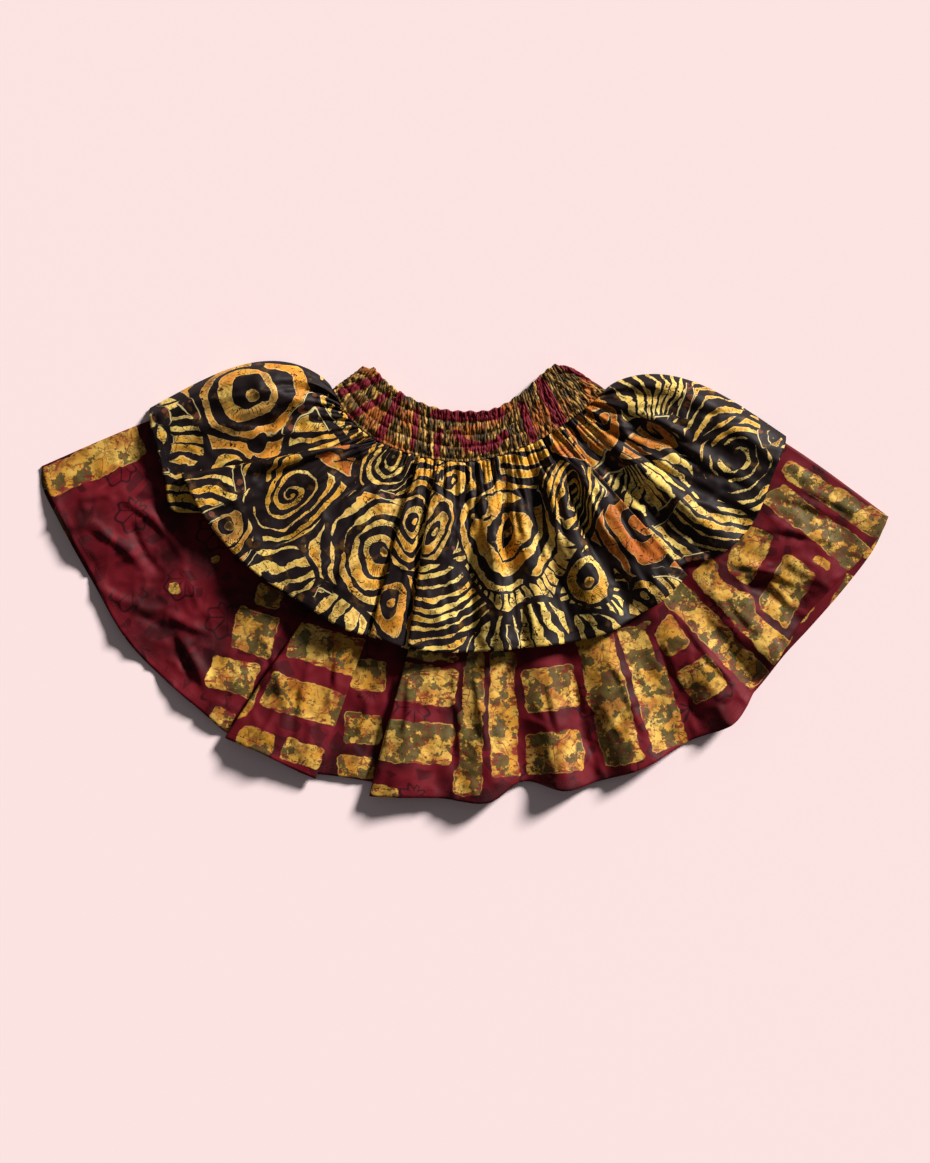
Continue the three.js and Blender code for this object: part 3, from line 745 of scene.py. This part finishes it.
def motif_fields(x, y, runs, motifs):
    """For every point: its place in its motif, how far its area's border is, and its lines."""
    x, y = (place + WARP * soft_noise(x, y, WARP_SIZE, seed) for place, seed in ((x, 71), (y, 72)))
    gaps = []
    for motif in motifs:
        gap = np.hypot(x - motif.x, y - motif.y) - motif.reach
        gaps.append(gap if runs is None else np.where(runs == motif.run, gap, HIDDEN))
    nearest = np.argmin(gaps, axis=0)
    first, second = np.partition(gaps, 1, axis=0)[:2]

    def of(column):
        return np.array([getattr(motif, column) for motif in motifs])[nearest]

    turn = np.radians(of("angle"))
    dx, dy = x - of("core_x"), y - of("core_y")
    u = dx * np.cos(turn) + dy * np.sin(turn)
    v = (dy * np.cos(turn) - dx * np.sin(turn)) / of("squash")
    return {"motif_place": (u, v, np.minimum((second - first) / 2, FAR)),
            "motif_lines": (of("pitch"), of("twist"), of("rim")),
            "motif_tone": (of("gold"), of("warm"), of("spokes"))}


# ---- the print of the lower tier: blocks and strips of mottled gold on maroon ----
# x, y: middle; wide, tall: half sizes; angle: of its width; green: share of olive patches
BLOCKS = table("""
run x y wide tall angle green
0 -436 140 62 17 25 0.2
0 -246 -58 23 25 -14 0.5
0 -272 -110 27 19 -16 0.3
0 -230 -20 14 12 -20 0.2
0 -284 -158 13 10 -30 0.5
0 -340 -8 5 7 10 0.1
0 -292 26 5 3 20 0
2 -236 -92 11 76 -25 0.1
2 -158 -80 45 21 -17 0.3
2 -184 -139 49 20 -18 0.35
2 -244 -184 20 12 -18 0.3
2 -190 -201 22 12 -19 0.4
4 -120 -172 20 17 -5 0.8
4 -128 -217 20 12 -3 0.6
4 -112 -110 18 16 -5 0.5
6 -50 -119 45 22 -7 0.4
6 -57 -188 46 23 -5 0.5
6 -92 -245 15 6 -12 0.2
6 -38 -86 38 7 -8 0.5
6 6 -166 15 82 -3 0.5
6 45 -156 16 72 2 0.3
6 98 -125 32 24 8 0.5
6 103 -199 34 23 5 0.4
6 168 -137 21 76 14 0.5
6 219 -123 20 73 16 0.4
6 236 -66 19 19 32 0.1
6 276 -115 21 21 32 0.3
6 292 -62 15 76 44 0.6
6 324 -34 15 72 43 0.4
6 330 30 17 34 -26 0.3
6 375 -12 20 38 -30 0.4
6 412 66 18 66 51 0.7
6 432 96 13 68 60 0.6
6 418 22 10 6 -30 0.2
6 240 30 30 14 20 0.3
""")

BLOCK_GAP = 8.5                   # maroon left between two blocks that meet
BLOCK_CORNER, BLOCK_SPREAD = 3.0, 1.0
BACK_BLOCK_PITCH = (62.0, 54.0)   # along the hem and across it, on the plain back panel
BACK_BLOCK_HALF = (24.0, 20.0)
PRINT_MIDDLE = 220                # height on the y axis that the back panel's blocks circle


def block_field(x, y, runs):
    """Signed distance to the nearest block's edge, negative inside, and its share of olive."""
    edges = []
    for block in BLOCKS:
        turn = math.radians(block.angle)
        dx, dy = x - block.x, y - block.y
        u = np.abs(dx * math.cos(turn) + dy * math.sin(turn)) - block.wide + BLOCK_CORNER
        v = np.abs(dy * math.cos(turn) - dx * math.sin(turn)) - block.tall + BLOCK_CORNER
        edge = np.hypot(np.maximum(u, 0), np.maximum(v, 0)) + np.minimum(np.maximum(u, v), 0)
        edges.append(np.where(runs == block.run, edge - BLOCK_CORNER - BLOCK_SPREAD, FAR))
    green = np.array([block.green for block in BLOCKS])[np.argmin(edges, axis=0)]
    first, second = np.partition(edges, 1, axis=0)[:2]
    return {"block_place": (np.maximum(first, (first - second + BLOCK_GAP) / 2), green, 0)}


# ---- node materials ----
WEAVE_SCALE = 260.0


class Value:
    """A value that a material works out at every point; + - * / join it to others."""

    def __init__(self, shader, socket):
        self.shader, self.socket = shader, socket

    def of(self, output):
        """Another output of the same node."""
        return Value(self.shader, self.socket.node.outputs[output])

    def ramp(self, low, high):
        """0 at low to 1 at high, with soft ends."""
        return self.shader.node("MapRange", self, interpolation_type="SMOOTHSTEP",
                                From_Min=low, From_Max=high)

    def below(self, low, high):
        """1 at low and under, 0 from high on."""
        return 1 - self.ramp(low, high)

    def near(self, middle, width):
        """1 at the middle, down to 0 at width from it."""
        return self.shader.math("ABSOLUTE", self - middle).below(width * 0.5, width)


def joined(operation, swapped):
    def join(value, other):
        return value.shader.math(operation, *((other, value) if swapped else (value, other)))

    return join


for sign, operation in (("add", "ADD"), ("sub", "SUBTRACT"), ("mul", "MULTIPLY"), ("truediv", "DIVIDE")):
    setattr(Value, f"__{sign}__", joined(operation, False))
    setattr(Value, f"__r{sign}__", joined(operation, True))


class Shader:
    """Builds one cloth material; values, plain numbers and colours mix freely as inputs."""

    def __init__(self, name, gloss):
        self.material = bpy.data.materials.new(name)
        self.material.use_nodes = True
        self.tree = self.material.node_tree
        self.cloth = self.tree.nodes["Principled BSDF"]
        self.cloth.inputs["Specular IOR Level"].default_value = gloss
        self.place = self.node("TexCoord").of("Object")

    def put(self, socket, value):
        if isinstance(value, Value):
            self.tree.links.new(value.socket, socket)
        elif socket.type == "RGBA":
            socket.default_value = (*value, 1)
        else:
            socket.default_value = value

    def node(self, kind, *inputs, **named):
        """The first output of a new node. A named value is one of its settings or inputs."""
        made = self.tree.nodes.new("ShaderNode" + kind)
        for key, value in named.items():
            if hasattr(made, key):
                setattr(made, key, value)
            else:
                self.put(made.inputs[key.replace("_", " ")], value)
        for socket, value in zip(made.inputs, inputs):
            self.put(socket, value)
        return Value(self, made.outputs[0])

    def math(self, operation, *values):
        return self.node("Math", *values, operation=operation)

    def parts(self, vector):
        split = self.node("SeparateXYZ", vector)
        return [split.of(k) for k in range(3)]

    def field(self, name):
        """The three values that the mesh holds under this name."""
        return self.parts(self.node("Attribute", attribute_name=name).of("Vector"))

    def noise(self, size, detail=2.0, shift=0.0, grain=0.5, stretch=(1, 1, 1)):
        """Noise from 0 to 1 whose patches are about size millimetres across."""
        place = self.node("Mapping", self.place, Location=(shift, shift * 0.7, 0), Scale=stretch)
        return self.node("TexNoise", Vector=place, Scale=1000 / size, Detail=detail, Roughness=grain)

    def wobble(self, size, range_of, shift):
        """A smooth shift of up to half of range_of each way."""
        return (self.noise(size, 2, shift) - 0.5) * range_of

    def cells(self, size, feature, warp):
        """Voronoi cells about size millimetres across; warp bends their edges."""
        swirl = self.node("TexNoise", Vector=self.place, Scale=1000 / size * 0.6).of("Color")
        shift = self.node("VectorMath", swirl, operation="SCALE", Scale=warp * MM)
        place = self.node("VectorMath", self.place, shift, operation="ADD")
        return self.node("TexVoronoi", feature=feature, Vector=place, Scale=1000 / size)

    def blend(self, share, a, b):
        colour = self.node("Mix", data_type="RGBA")
        for index, value in ((0, share), (6, a), (7, b)):
            self.put(colour.socket.node.inputs[index], value)
        return colour.of(2)

    def stained(self, colour, stain, strength, limits, *noise):
        """The colour with patches of a stain, where the noise goes over its limits."""
        return self.blend(self.noise(*noise).ramp(*limits) * strength, colour, stain)

    def weave(self, size, relief):
        """Fine plain weave with small lumps, as a height."""
        across, down = (self.node("TexWave", bands_direction=way, Vector=self.place, Scale=WEAVE_SCALE)
                        for way in "XY")
        return across.of("Fac") * down.of("Fac") * 0.25 + self.noise(size, 3) * relief

    def finish(self, colour, roughness, height, distance=0.0004):
        self.put(self.cloth.inputs["Base Color"], colour)
        self.put(self.cloth.inputs["Roughness"], roughness)
        bump = self.node("Bump", Height=height, Distance=distance, Strength=0.35)
        self.put(self.cloth.inputs["Normal"], bump)
        return self.material


def srgb(code):
    parts = [int(code[k:k + 2], 16) / 255 for k in (0, 2, 4)]
    return tuple(p / 12.92 if p <= 0.04045 else ((p + 0.055) / 1.055) ** 2.4 for p in parts)


INK, INK_LIGHT = srgb("120a0a"), srgb("201415")
STRAW, GOLD, RUST, CREAM = srgb("e9c868"), srgb("dc9f30"), srgb("b35f22"), srgb("e0cb8c")
MOTTLE, SPECK, BROWN = srgb("6e4a18"), srgb("33220f"), srgb("6b3826")
OLIVE, OLIVE_LIGHT = srgb("2c3220"), srgb("403e22")
MAROON, MAROON_DEEP, MAROON_LIGHT, DAMASK = srgb("640916"), srgb("3a040a"), srgb("741a27"), srgb("260409")
BLOCK_GOLD, BLOCK_LIGHT, BLOCK_RUST, BLEED = srgb("be852a"), srgb("dab055"), srgb("9a4c1a"), srgb("7a1c1c")
BAND_GOLD, BAND_BROWN, BAND_OLIVE = srgb("cfa052"), srgb("6e4a20"), srgb("2f2a18")
CUTS = 43                  # places round a ring where a cut may run
RAY_CUT_PITCH = 8.0


def upper_tier_material():
    s = Shader("upper_tier_cloth", 0.14)
    across, down, border = s.field("motif_place")
    pitch, twist, rim = s.field("motif_lines")
    gold_share, warm, spokes = s.field("motif_tone")
    u = across + (s.wobble(48, 16, 0.0) + s.wobble(15, 5, 0.3))
    v = down + (s.wobble(44, 16, 0.5) + s.wobble(14, 5, 0.8))
    radius = s.math("SQRT", u * u + v * v)
    turn = s.math("ARCTAN2", v, u) / TURN

    # a gold line swells, thins out and is broken by plain patches
    share = gold_share + s.wobble(30, 0.6, 1.7) - s.noise(50, 1, 2.3).ramp(0.60, 0.70) * 0.7
    share = share + s.math("COSINE", turn * TURN + radius * 0.11) * 0.24

    def inside_line(phase, spacing):
        """How far inside a gold line the point lies, in millimetres."""
        return (share * 0.5 - s.math("PINGPONG", phase, 0.5)) * spacing

    ring = inside_line(radius / pitch + twist * turn, pitch)
    ray = inside_line(turn * spokes + s.wobble(26, 0.9, 0.6), radius * TURN / spokes)
    past_rim = radius - rim
    in_rays = s.math("GREATER_THAN", past_rim, 0)
    lines = s.math("MINIMUM", mix(ring, ray, in_rays), s.math("ABSOLUTE", past_rim) - 1.8)

    # along some borders runs a dark chain of brown cells between two pale lines
    chained = s.noise(50, 1, 1.9).ramp(0.55, 0.58)
    past_chain = border + s.wobble(24, 5, 0.9) - (2.0 + chained * 3.0)
    inside = s.math("MINIMUM", lines + s.wobble(8, 3.2, 0.2), past_chain - 1.4)
    cell = s.cells(11, "F1", 5).below(0.34, 0.38) * (past_chain.below(-0.9, -0.5) * chained)
    chain_line = past_chain.near(0.2, 0.7) * chained

    # wax cracks, fine veins and thin dark cuts run across the gold
    crack = s.noise(19, 3, 3.3).near(0.5, 0.012) * s.noise(30, 1, 0.9).ramp(0.44, 0.52)
    vein = s.cells(6, "DISTANCE_TO_EDGE", 8).below(0.02, 0.08) * s.noise(16, 2, 1.3).ramp(0.52, 0.62)
    ring_cut = s.math("PINGPONG", turn * CUTS + s.wobble(10, 2.0, 3.9), 0.5) * (radius * TURN / CUTS)
    ray_cut = s.math("PINGPONG", radius / RAY_CUT_PITCH + s.wobble(10, 1.6, 4.4), 0.5) * RAY_CUT_PITCH
    cut = mix(ring_cut, ray_cut, in_rays).below(0.2, 0.5) * s.noise(15, 2, 4.7).ramp(0.48, 0.56)

    deep = s.math("MAXIMUM", s.noise(46, 2, 0.5).ramp(0.40, 0.54) - in_rays * 0.7, 0)
    colour = s.blend(deep, STRAW, GOLD)
    colour = s.stained(colour, RUST, warm, (0.25, 0.5), 30, 3, 0.7)
    colour = s.stained(colour, MOTTLE, 0.6, (0.50, 0.62), 12, 5, 0.1, 0.62)
    colour = s.blend(inside.below(0.5, 1.3) * 0.5, colour, CREAM)
    colour = s.blend(vein * 0.6, colour, MOTTLE)
    colour = s.stained(colour, SPECK, 0.7, (0.60, 0.68), 3.2, 3, 0.4)

    ground = s.blend(s.noise(22, 3, 0.3), INK, INK_LIGHT)
    ground = s.stained(ground, MOTTLE, 0.5, (0.58, 0.72), 16, 4, 2.9)
    ground = s.blend(cell * 0.9, ground, BROWN)
    ground = s.blend(chain_line * 0.8, ground, CREAM)
    gold = inside.ramp(-0.3, 0.3)
    colour = s.blend(gold, ground, colour)
    colour = s.blend(s.math("MAXIMUM", crack, cut * 0.85) * gold, colour, INK)
    return s.finish(colour, 0.46 + s.noise(12, 2, 0.8) * 0.2, s.weave(3.5, 0.9))


def damask(s):
    """Tone-on-tone wheels with eight spokes, and leaves, 1 where the cloth is darker."""
    gap = s.cells(54, "F1", 10)
    away = s.parts(s.node("VectorMath", s.place, gap.of("Position"), operation="SUBTRACT"))
    turn = s.math("ARCTAN2", away[1], away[0])
    spoke = s.math("PINGPONG", turn * (8 / TURN), 0.5) * gap
    spoke = spoke.below(0.010, 0.018) * gap.below(0.30, 0.32)
    petal = s.math("COSINE", turn * 8) * 0.045
    wheels = s.math("MAXIMUM", spoke, (gap + petal).near(0.35, 0.04))
    leaves = s.cells(27, "DISTANCE_TO_EDGE", 12).ramp(0.13, 0.16) * 0.7
    shown = s.math("GREATER_THAN", s.node("SeparateColor", gap.of("Color")), 0.55)
    return mix(leaves, wheels, shown) * s.noise(60, 1, 2.0).ramp(0.34, 0.46)


def lower_tier_material():
    s = Shader("lower_tier_cloth", 0.16)
    edge, green_share, _ = s.field("block_place")
    edge = edge + (s.wobble(32, 9, 0.2) + s.wobble(9, 5, 0.5))
    outline = edge.near(0.2, 0.7) * s.noise(26, 2, 3.1).ramp(0.46, 0.58)

    figure = damask(s)
    maroon = s.stained(MAROON, MAROON_DEEP, 1, (0.42, 0.66), 60, 2, 0.5)
    maroon = s.stained(maroon, MAROON_LIGHT, 0.4, (0.5, 0.75), 20, 3, 0.9)
    maroon = s.blend(figure * 0.85, maroon, DAMASK)

    gold = s.stained(BLOCK_GOLD, BLOCK_LIGHT, 1, (0.35, 0.65), 34, 3, 0.1)
    gold = s.stained(gold, BLOCK_RUST, 0.7, (0.48, 0.66), 22, 4, 0.6)
    gold = s.stained(gold, MOTTLE, 0.6, (0.48, 0.60), 8, 5, 2.2, 0.6)
    # olive specks lie close together in some patches and thin out between them
    patch = (s.noise(26, 4, 0.3) - (0.6 - green_share * 0.2)).ramp(-0.07, 0.05)
    speck = s.noise(8, 6, 4.1, 0.62) - (0.64 - patch * 0.24)
    shade = s.blend(s.noise(8, 4, 1.9), OLIVE, OLIVE_LIGHT)
    gold = s.blend(speck.ramp(-0.01, 0.02) * 0.85, gold, shade)
    gold = s.stained(gold, SPECK, 0.75, (0.60, 0.66), 5, 4, 0.7, 0.6)
    vein = s.noise(30, 5, 3.7).near(0.5, 0.011) * s.noise(24, 2, 1.1).ramp(0.42, 0.52)
    crackle = s.cells(22, "DISTANCE_TO_EDGE", 22).below(0.01, 0.035) * s.noise(28, 2, 2.4).ramp(0.50, 0.60)
    gold = s.blend(s.math("MAXIMUM", vein, crackle) * 0.75, gold, BLEED)
    # red dye has crept in at the edges, in short streaks
    creep = s.noise(30, 2, 1.7).ramp(0.42, 0.6) * 16
    streak = s.noise(5, 3, 2.6, stretch=(0.4, 1.4, 1)).ramp(0.48, 0.72) * creep + edge
    gold = s.blend(streak.ramp(-0.5, 1.0) * 0.85, gold, BLEED)

    colour = s.blend(edge.below(-0.3, 0.3), maroon, gold)
    colour = s.blend(outline * 0.5, colour, BLOCK_LIGHT)
    roughness = 0.58 + s.noise(14, 2, 0.8) * 0.16 - figure * 0.08
    return s.finish(colour, roughness, s.weave(3.5, 0.9))


def waistband_material():
    s = Shader("waistband_cloth", 0.2)
    along, across, stripe = s.field("band_place")
    # the print is squeezed along the band, so its spots are drawn out from edge to edge
    squeezed = s.node("CombineXYZ", along, across * 0.3)

    def spots(size, shift, limits):
        place = s.node("VectorMath", squeezed, (shift, shift, 0), operation="ADD")
        return s.node("TexNoise", Vector=place, Scale=1 / size, Detail=3.0).ramp(*limits)

    gold = s.blend(spots(7, 0, (0.40, 0.56)), BAND_GOLD, BAND_BROWN)
    gold = s.blend(spots(5, 40, (0.46, 0.56)) * 0.85, gold, BAND_OLIVE)
    gold = s.stained(gold, RUST, 0.75, (0.54, 0.64), 36, 2, 1.1)
    gold = s.blend(spots(2.2, 80, (0.50, 0.60)) * 0.85, gold, SPECK)
    maroon = s.blend(s.noise(14, 2, 0.2), MAROON_LIGHT, MAROON)
    colour = s.blend((stripe + s.wobble(7, 4, 0.4)).below(-0.3, 0.3), gold, maroon)
    colour = s.stained(colour, SPECK, 0.5, (0.60, 0.72), 3.0, 3, 0.9)
    return s.finish(colour, 0.5 + s.noise(8, 2, 0.8) * 0.2, s.weave(2.5, 0.8))


# ---- the front panels ----
def depth_lines(hidden, shown, lap):
    """Shares of the depth: coarser above lap, where another tier covers it, finer below."""
    return np.concatenate([np.linspace(0, lap, hidden, endpoint=False), np.linspace(lap, 1, shown)])


# middle: share of the depth where a fold line has its middle height; turn, edge_rise: where
# turned folds rise; shown: where the creases set in; raised: height that they all gain;
# swell: seed of the swells; print_gain: how much the print shifts in the folds
UPPER = SimpleNamespace(
    rows=UPPER_FRONT, depths=depth_lines(30, 62, 0.25), middle=0.45, turn=(0, 0.11), edge_rise=(0.08, 0.3),
    hem_step=2.9, seam_step=1.25, length=UPPER_LENGTH, shown=(0.02, 0.12), raised=1.6, least=9.6,
    creases=UPPER_CREASES + small_creases(3, 110, 70, 340), swell=11, print_gain=1.5)
LOWER = SimpleNamespace(
    rows=LOWER_FRONT, depths=depth_lines(16, 76, 0.4), middle=0.66, turn=(0.02, 0.15), edge_rise=(0.58, 0.8),
    hem_step=3.1, seam_step=2.6, length=LOWER_LENGTH, shown=(0.5, 0.8), raised=2.0, least=None,
    creases=LOWER_CREASES + small_creases(4, 130, 290, 500), swell=31, print_gain=1.2)
# the back panel lies higher where it covers the upper tier's back hem
LOWER.least = mix(3.0, 1.8, smooth(LOWER.depths, 0.7, 0.8))[:, None]


def front_grid(panel, gathered):
    """The middle of a front panel, with the place of every point in the print and its run."""
    grid, seams, runs = folded_grid(panel)
    if gathered:
        add_gathers(grid, panel, seams)
    x, y = grid[..., 0].copy(), grid[..., 1].copy()
    shown = smooth(panel.depths, *panel.shown)[:, None]
    first, last = panel.rows[0].seam, panel.rows[-1].seam
    from_side = smooth(np.minimum(seams - first, last - seams), 0.003, 0.03)[None]
    lift = crease_heights(x, y, panel.creases) + swells(x, y, panel.swell)
    add_relief(grid, panel, (lift + panel.raised) * shown * from_side)
    # the turned-up hem is a little thicker, so its fold stands above the cloth
    from_hem = (1 - panel.depths) * panel.length
    grid[..., 2] += HEM_RISE * (1 - smooth(from_hem, HEM_DEPTH - 1.5, HEM_DEPTH + 1))[:, None]
    shift = print_shift(grid, panel.print_gain)
    return grid, x + shift[..., 0], y + shift[..., 1], np.broadcast_to(runs, x.shape)


# ---- the plain back panels ----
def plain_grid(rows, shares, heights):
    """A flat panel: shares gives the depths of a row's points, heights their heights."""
    counts = [columns_between(a, b, 6.0, 3.6) for a, b in zip(rows, rows[1:])]
    grid = smooth_run([line_points(row, shares(row)) for row in rows], counts, False)
    grid[..., 2] = heights[:, None]
    seams = [mix(rows[k].seam, rows[k + 1].seam, shares_in) for k, shares_in in interval_shares(counts)]
    settle(grid, shares(rows[0]), np.concatenate(seams))
    return grid


def upper_back():
    depths = np.linspace(0, 1, 46)
    grid = plain_grid(UPPER_BACK, lambda row: depths, np.full(46, GROUND_MIDDLE))
    fields = motif_fields(-grid[..., 0], grid[..., 1], None, [m for m in MOTIFS if m.run % 2 == 0])
    return sheet_mesh("upper_tier_back_cloth", grid, CLOTH, fields)


def lower_back():
    steps = np.linspace(0, 1, 64)
    climb = (0.5, 0.6)       # the steps on which it comes up over the upper tier's back hem

    def shares(row):
        return np.interp(steps, [0, *climb, 1], [0, row.lap + 0.03, row.lap + 0.09, 1])

    grid = plain_grid(LOWER_BACK, shares, GROUND_MIDDLE + LAYER_RISE * (1 - smooth(steps, *climb)))
    x, y = grid[..., 0], grid[..., 1] - PRINT_MIDDLE
    u, v = (np.abs((place / pitch) % 1 - 0.5) * pitch - half for place, pitch, half in zip(
        (np.arctan2(y, x) * FAN_ARC, np.hypot(x, y)), BACK_BLOCK_PITCH, BACK_BLOCK_HALF))
    return sheet_mesh("lower_tier_back_cloth", grid, CLOTH, {"block_place": (np.maximum(u, v), 0.5, 0)})


# ---- the shirred waistband ----
CHANNELS = (0.78, 0.54, 0.30, 0.06)      # rows of elastic, as shares from the seam to the top
RIB_COLUMNS = STATIONS * RIBS_PER_STATION

# maroon stripes of its print: the ends of their middle lines and half their width
BAND_STRIPES = table("""
x0 y0 x1 y1 half
-145 221 -100 238 4.5
-135 192 -91 218 4
-101 168 -76 218 5
-62 156 -56 200 3
-34 148 -30 176 4
-34 196 -8 193 6
-8 194 40 196 7
-9 172 2 160 5  # a crescent at the middle
2 160 17 156 6.5
17 156 34 160 6.5
34 160 47 172 5
66 206 80 166 5
88 232 112 186 7
111 256 165 231 5.5
""")


def band_grid(columns, lines, low, high):
    station = np.linspace(0, STATIONS, columns)
    across = np.linspace(high, low, lines)
    seam, top = seam_at_station(station), top_at_station(station)
    # the header rounds off towards the side folds
    from_end = smooth(np.minimum(station, STATIONS - station), 0, 1.0)
    reach = 1 - 0.2 * (1 - from_end) ** 2
    grid = seam[None] + (top - seam)[None] * (reach[:, None] * across[:, None, None])
    return grid, station, across


def band_field(grid, station, across, mirror, shift):
    """Place along and across the band, and distance to the edge of the nearest stripe."""
    x, y = grid[..., 0] * mirror, grid[..., 1]
    stripe = np.min([segment_gap(x, y, row.x0, row.y0, row.x1, row.y1) - row.half for row in BAND_STRIPES],
                    axis=0)
    along = station[None] * SEAM_LENGTH / STATIONS + shift
    return {"band_place": (along, across[:, None] * BAND_DEPTH, stripe)}


def rib_heights(station, across, seed):
    """Uneven ribs of gathered cloth, pinched where the elastic is sewn through."""
    along, up = station[None] * RIBS_PER_STATION * 10, across[:, None] * BAND_DEPTH
    wander = 0.8 * soft_noise(along, up, 13, seed) + 0.4 * soft_noise(along, up, 6, seed + 1)
    rib = np.abs(np.cos(np.pi * (along / 10 + wander))) ** 0.85
    rib *= 0.7 + 0.5 * soft_noise(along, up, 10, seed + 2)
    crinkle = 1 - np.abs(soft_noise(along * 2.6, up, 6, seed + 3)) ** 0.8
    pinch = np.ones_like(across)
    for channel in CHANNELS:
        pinch *= 1 - 0.75 * np.exp(-((across - channel) / 0.035) ** 2)
    puff = 0.4 + 0.6 * pinch
    return (RIB_HEIGHT * rib + CRINKLE_HEIGHT * crinkle) * puff[:, None] + 0.5 * (pinch[:, None] - 1)


def waistband_front():
    grid, station, across = band_grid(10 * RIB_COLUMNS + 1, 34, 0.0, 1.0)
    raised = smooth(np.minimum(station, STATIONS - station) * 2, 0, 3)
    header = smooth(across, 0.86, 1.0)[:, None]
    count = station * RIBS_PER_STATION * 2
    grid[..., 1] += HEADER_RIPPLE * (0.6 * np.sin(count * 0.95))[None] * header
    grid[..., 2] = mix(BAND_SIDE_MIDDLE, BAND_TOP_MIDDLE, raised)[None] + rib_heights(station, across, 51)
    grid[..., 2] += HEADER_RIPPLE * ((1 + np.sin(count * 0.45)) * 0.5 * raised)[None] * header
    return sheet_mesh("waistband_front_cloth", grid, BAND, band_field(grid, station, across, 1, 0), False)


def waistband_back():
    grid, station, across = band_grid(6 * RIB_COLUMNS + 1, 26, 0.0, 0.97)
    grid[..., 2] = BAND / 2 + 0.1 + 0.35 * rib_heights(station, across, 61)
    return sheet_mesh("waistband_back_cloth", grid, BAND, band_field(grid, station, across, -1, 400), False)


# ---- sewing thread along the hems ----
THREAD = ((0, 0.06), (0.4, 0.22), (2.4, 0.22), (2.8, 0.06))    # places along a stitch, and radius there
THREAD_SIDES = 6
THREAD_LIFT = 0.12         # middle of the thread over the cloth's surface


def stitches(name, grid, panel, colour):
    """Short lengths of thread lying on the hem, one mesh for the whole row."""
    line = int(np.argmin(np.abs(panel.depths - 1 + HEM_DEPTH / panel.length)))
    path = grid[line] + np.array([0, 0, CLOTH / 2 + THREAD_LIFT])
    place = travelled(path)
    corners = np.arange(THREAD_SIDES)
    angles = (corners * TURN / THREAD_SIDES)[:, None]
    points, faces = [], []
    for start in np.arange(3, place[-1] - 4, STITCH_PITCH):
        ends = [np.array([np.interp(start + d, place, path[:, k]) for k in range(3)]) for d, _ in THREAD]
        along = unit(ends[-1] - ends[0])
        aside = unit(np.cross(along, (0, 0, 1)))
        circle = aside * np.cos(angles) + np.cross(aside, along) * np.sin(angles)
        base = len(points) + corners
        following = np.roll(base, -1)
        for end, (_, size) in zip(ends, THREAD):
            points.extend((end + size * circle) * MM)
        for ring in range(0, THREAD_SIDES * 3, THREAD_SIDES):
            quads = np.stack([base, following, following + THREAD_SIDES, base + THREAD_SIDES], axis=-1)
            faces.extend((quads + ring).tolist())
        faces += [base[::-1].tolist(), (base + THREAD_SIDES * 3).tolist()]
    piece = add_piece(name, points, faces)
    s = Shader(name + "_thread", 0.3)
    shade = s.blend(s.noise(1.2, 2), colour, tuple(c * 0.6 for c in colour))
    piece.data.materials.append(s.finish(shade, 0.6, s.noise(0.5, 2), 0.0001))
    return piece


# ---- put it together ----
CLOTHS = {"upper_tier_cloth": upper_tier_material(), "lower_tier_cloth": lower_tier_material(),
          "waistband_cloth": waistband_material()}

upper_grid, *upper_place = front_grid(UPPER, True)
lower_grid, *lower_place = front_grid(LOWER, False)
upper_front = sheet_mesh("upper_tier_front_cloth", upper_grid, CLOTH, motif_fields(*upper_place, MOTIFS))
lower_front = sheet_mesh("lower_tier_front_cloth", lower_grid, CLOTH, block_field(*lower_place))

# piece, node it stands for, slot, cut (width, length) and area in metres, how it is held
PIECES = [
    (upper_front, "upper_tier_front", "upper_tier_cloth", (1.1, 0.26), 0.235, "laid"),
    (lower_front, "lower_tier_front", "lower_tier_cloth", (1.5, 0.40), 0.40, "laid"),
    (upper_back(), "upper_tier_back", "upper_tier_cloth", (1.0, 0.26), 0.19, "laid"),
    (lower_back(), "lower_tier_back", "lower_tier_cloth", (1.3, 0.40), 0.33, "laid"),
    (waistband_front(), "waistband_front", "waistband_cloth", (0.55, 0.06), None, "gathered"),
    (waistband_back(), "waistband_back", "waistband_cloth", (0.48, 0.06), None, "gathered"),
]
SEWN_ON = {
    upper_front: stitches("upper_tier_hem_stitches", upper_grid, UPPER, srgb("2a2026")),
    lower_front: stitches("lower_tier_hem_stitches", lower_grid, LOWER, srgb("5a1420")),
}

for piece, node, slot, cut, area, held in PIECES:
    piece.data.materials.append(CLOTHS[slot])
    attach(piece, "root")
    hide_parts(node)
for thread, slot in zip(SEWN_ON.values(), ("upper_tier_cloth", "lower_tier_cloth")):
    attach(thread, "root")

# ---- floor and light ----
FLOOR = 6.0
corners = [(x * FLOOR, y * FLOOR, -0.0004) for x, y in ((-1, -1), (1, -1), (1, 1), (-1, 1))]
floor = add_piece("floor", corners, [(0, 1, 2, 3)])
floor_material = bpy.data.materials.new("floor")
floor_material.use_nodes = True
floor_shader = floor_material.node_tree.nodes["Principled BSDF"]
floor_shader.inputs["Base Color"].default_value = (*srgb("fde6e7"), 1)
floor_shader.inputs["Roughness"].default_value = 0.9
floor.data.materials.append(floor_material)

# one wide soft light from the upper right, low enough to show the folds, and a pale room
SUN_HEIGHT = math.radians(25)
SUN_BEARING = math.radians(42)      # from +X towards +Y
sun_data = bpy.data.lights.new("window", "SUN")
sun_data.energy = 6.6
sun_data.angle = math.radians(13)
sun_data.color = (1.0, 0.98, 0.95)
sun = add_object("window", sun_data)
sun.rotation_euler = (math.pi / 2 - SUN_HEIGHT, 0, math.pi / 2 + SUN_BEARING)

world = bpy.data.worlds.new("studio")
world.use_nodes = True
world.node_tree.nodes["Background"].inputs["Color"].default_value = (0.98, 0.97, 1.0, 1)
world.node_tree.nodes["Background"].inputs["Strength"].default_value = 0.1
bpy.context.scene.world = world
bpy.context.scene.view_settings.view_transform = "Standard"
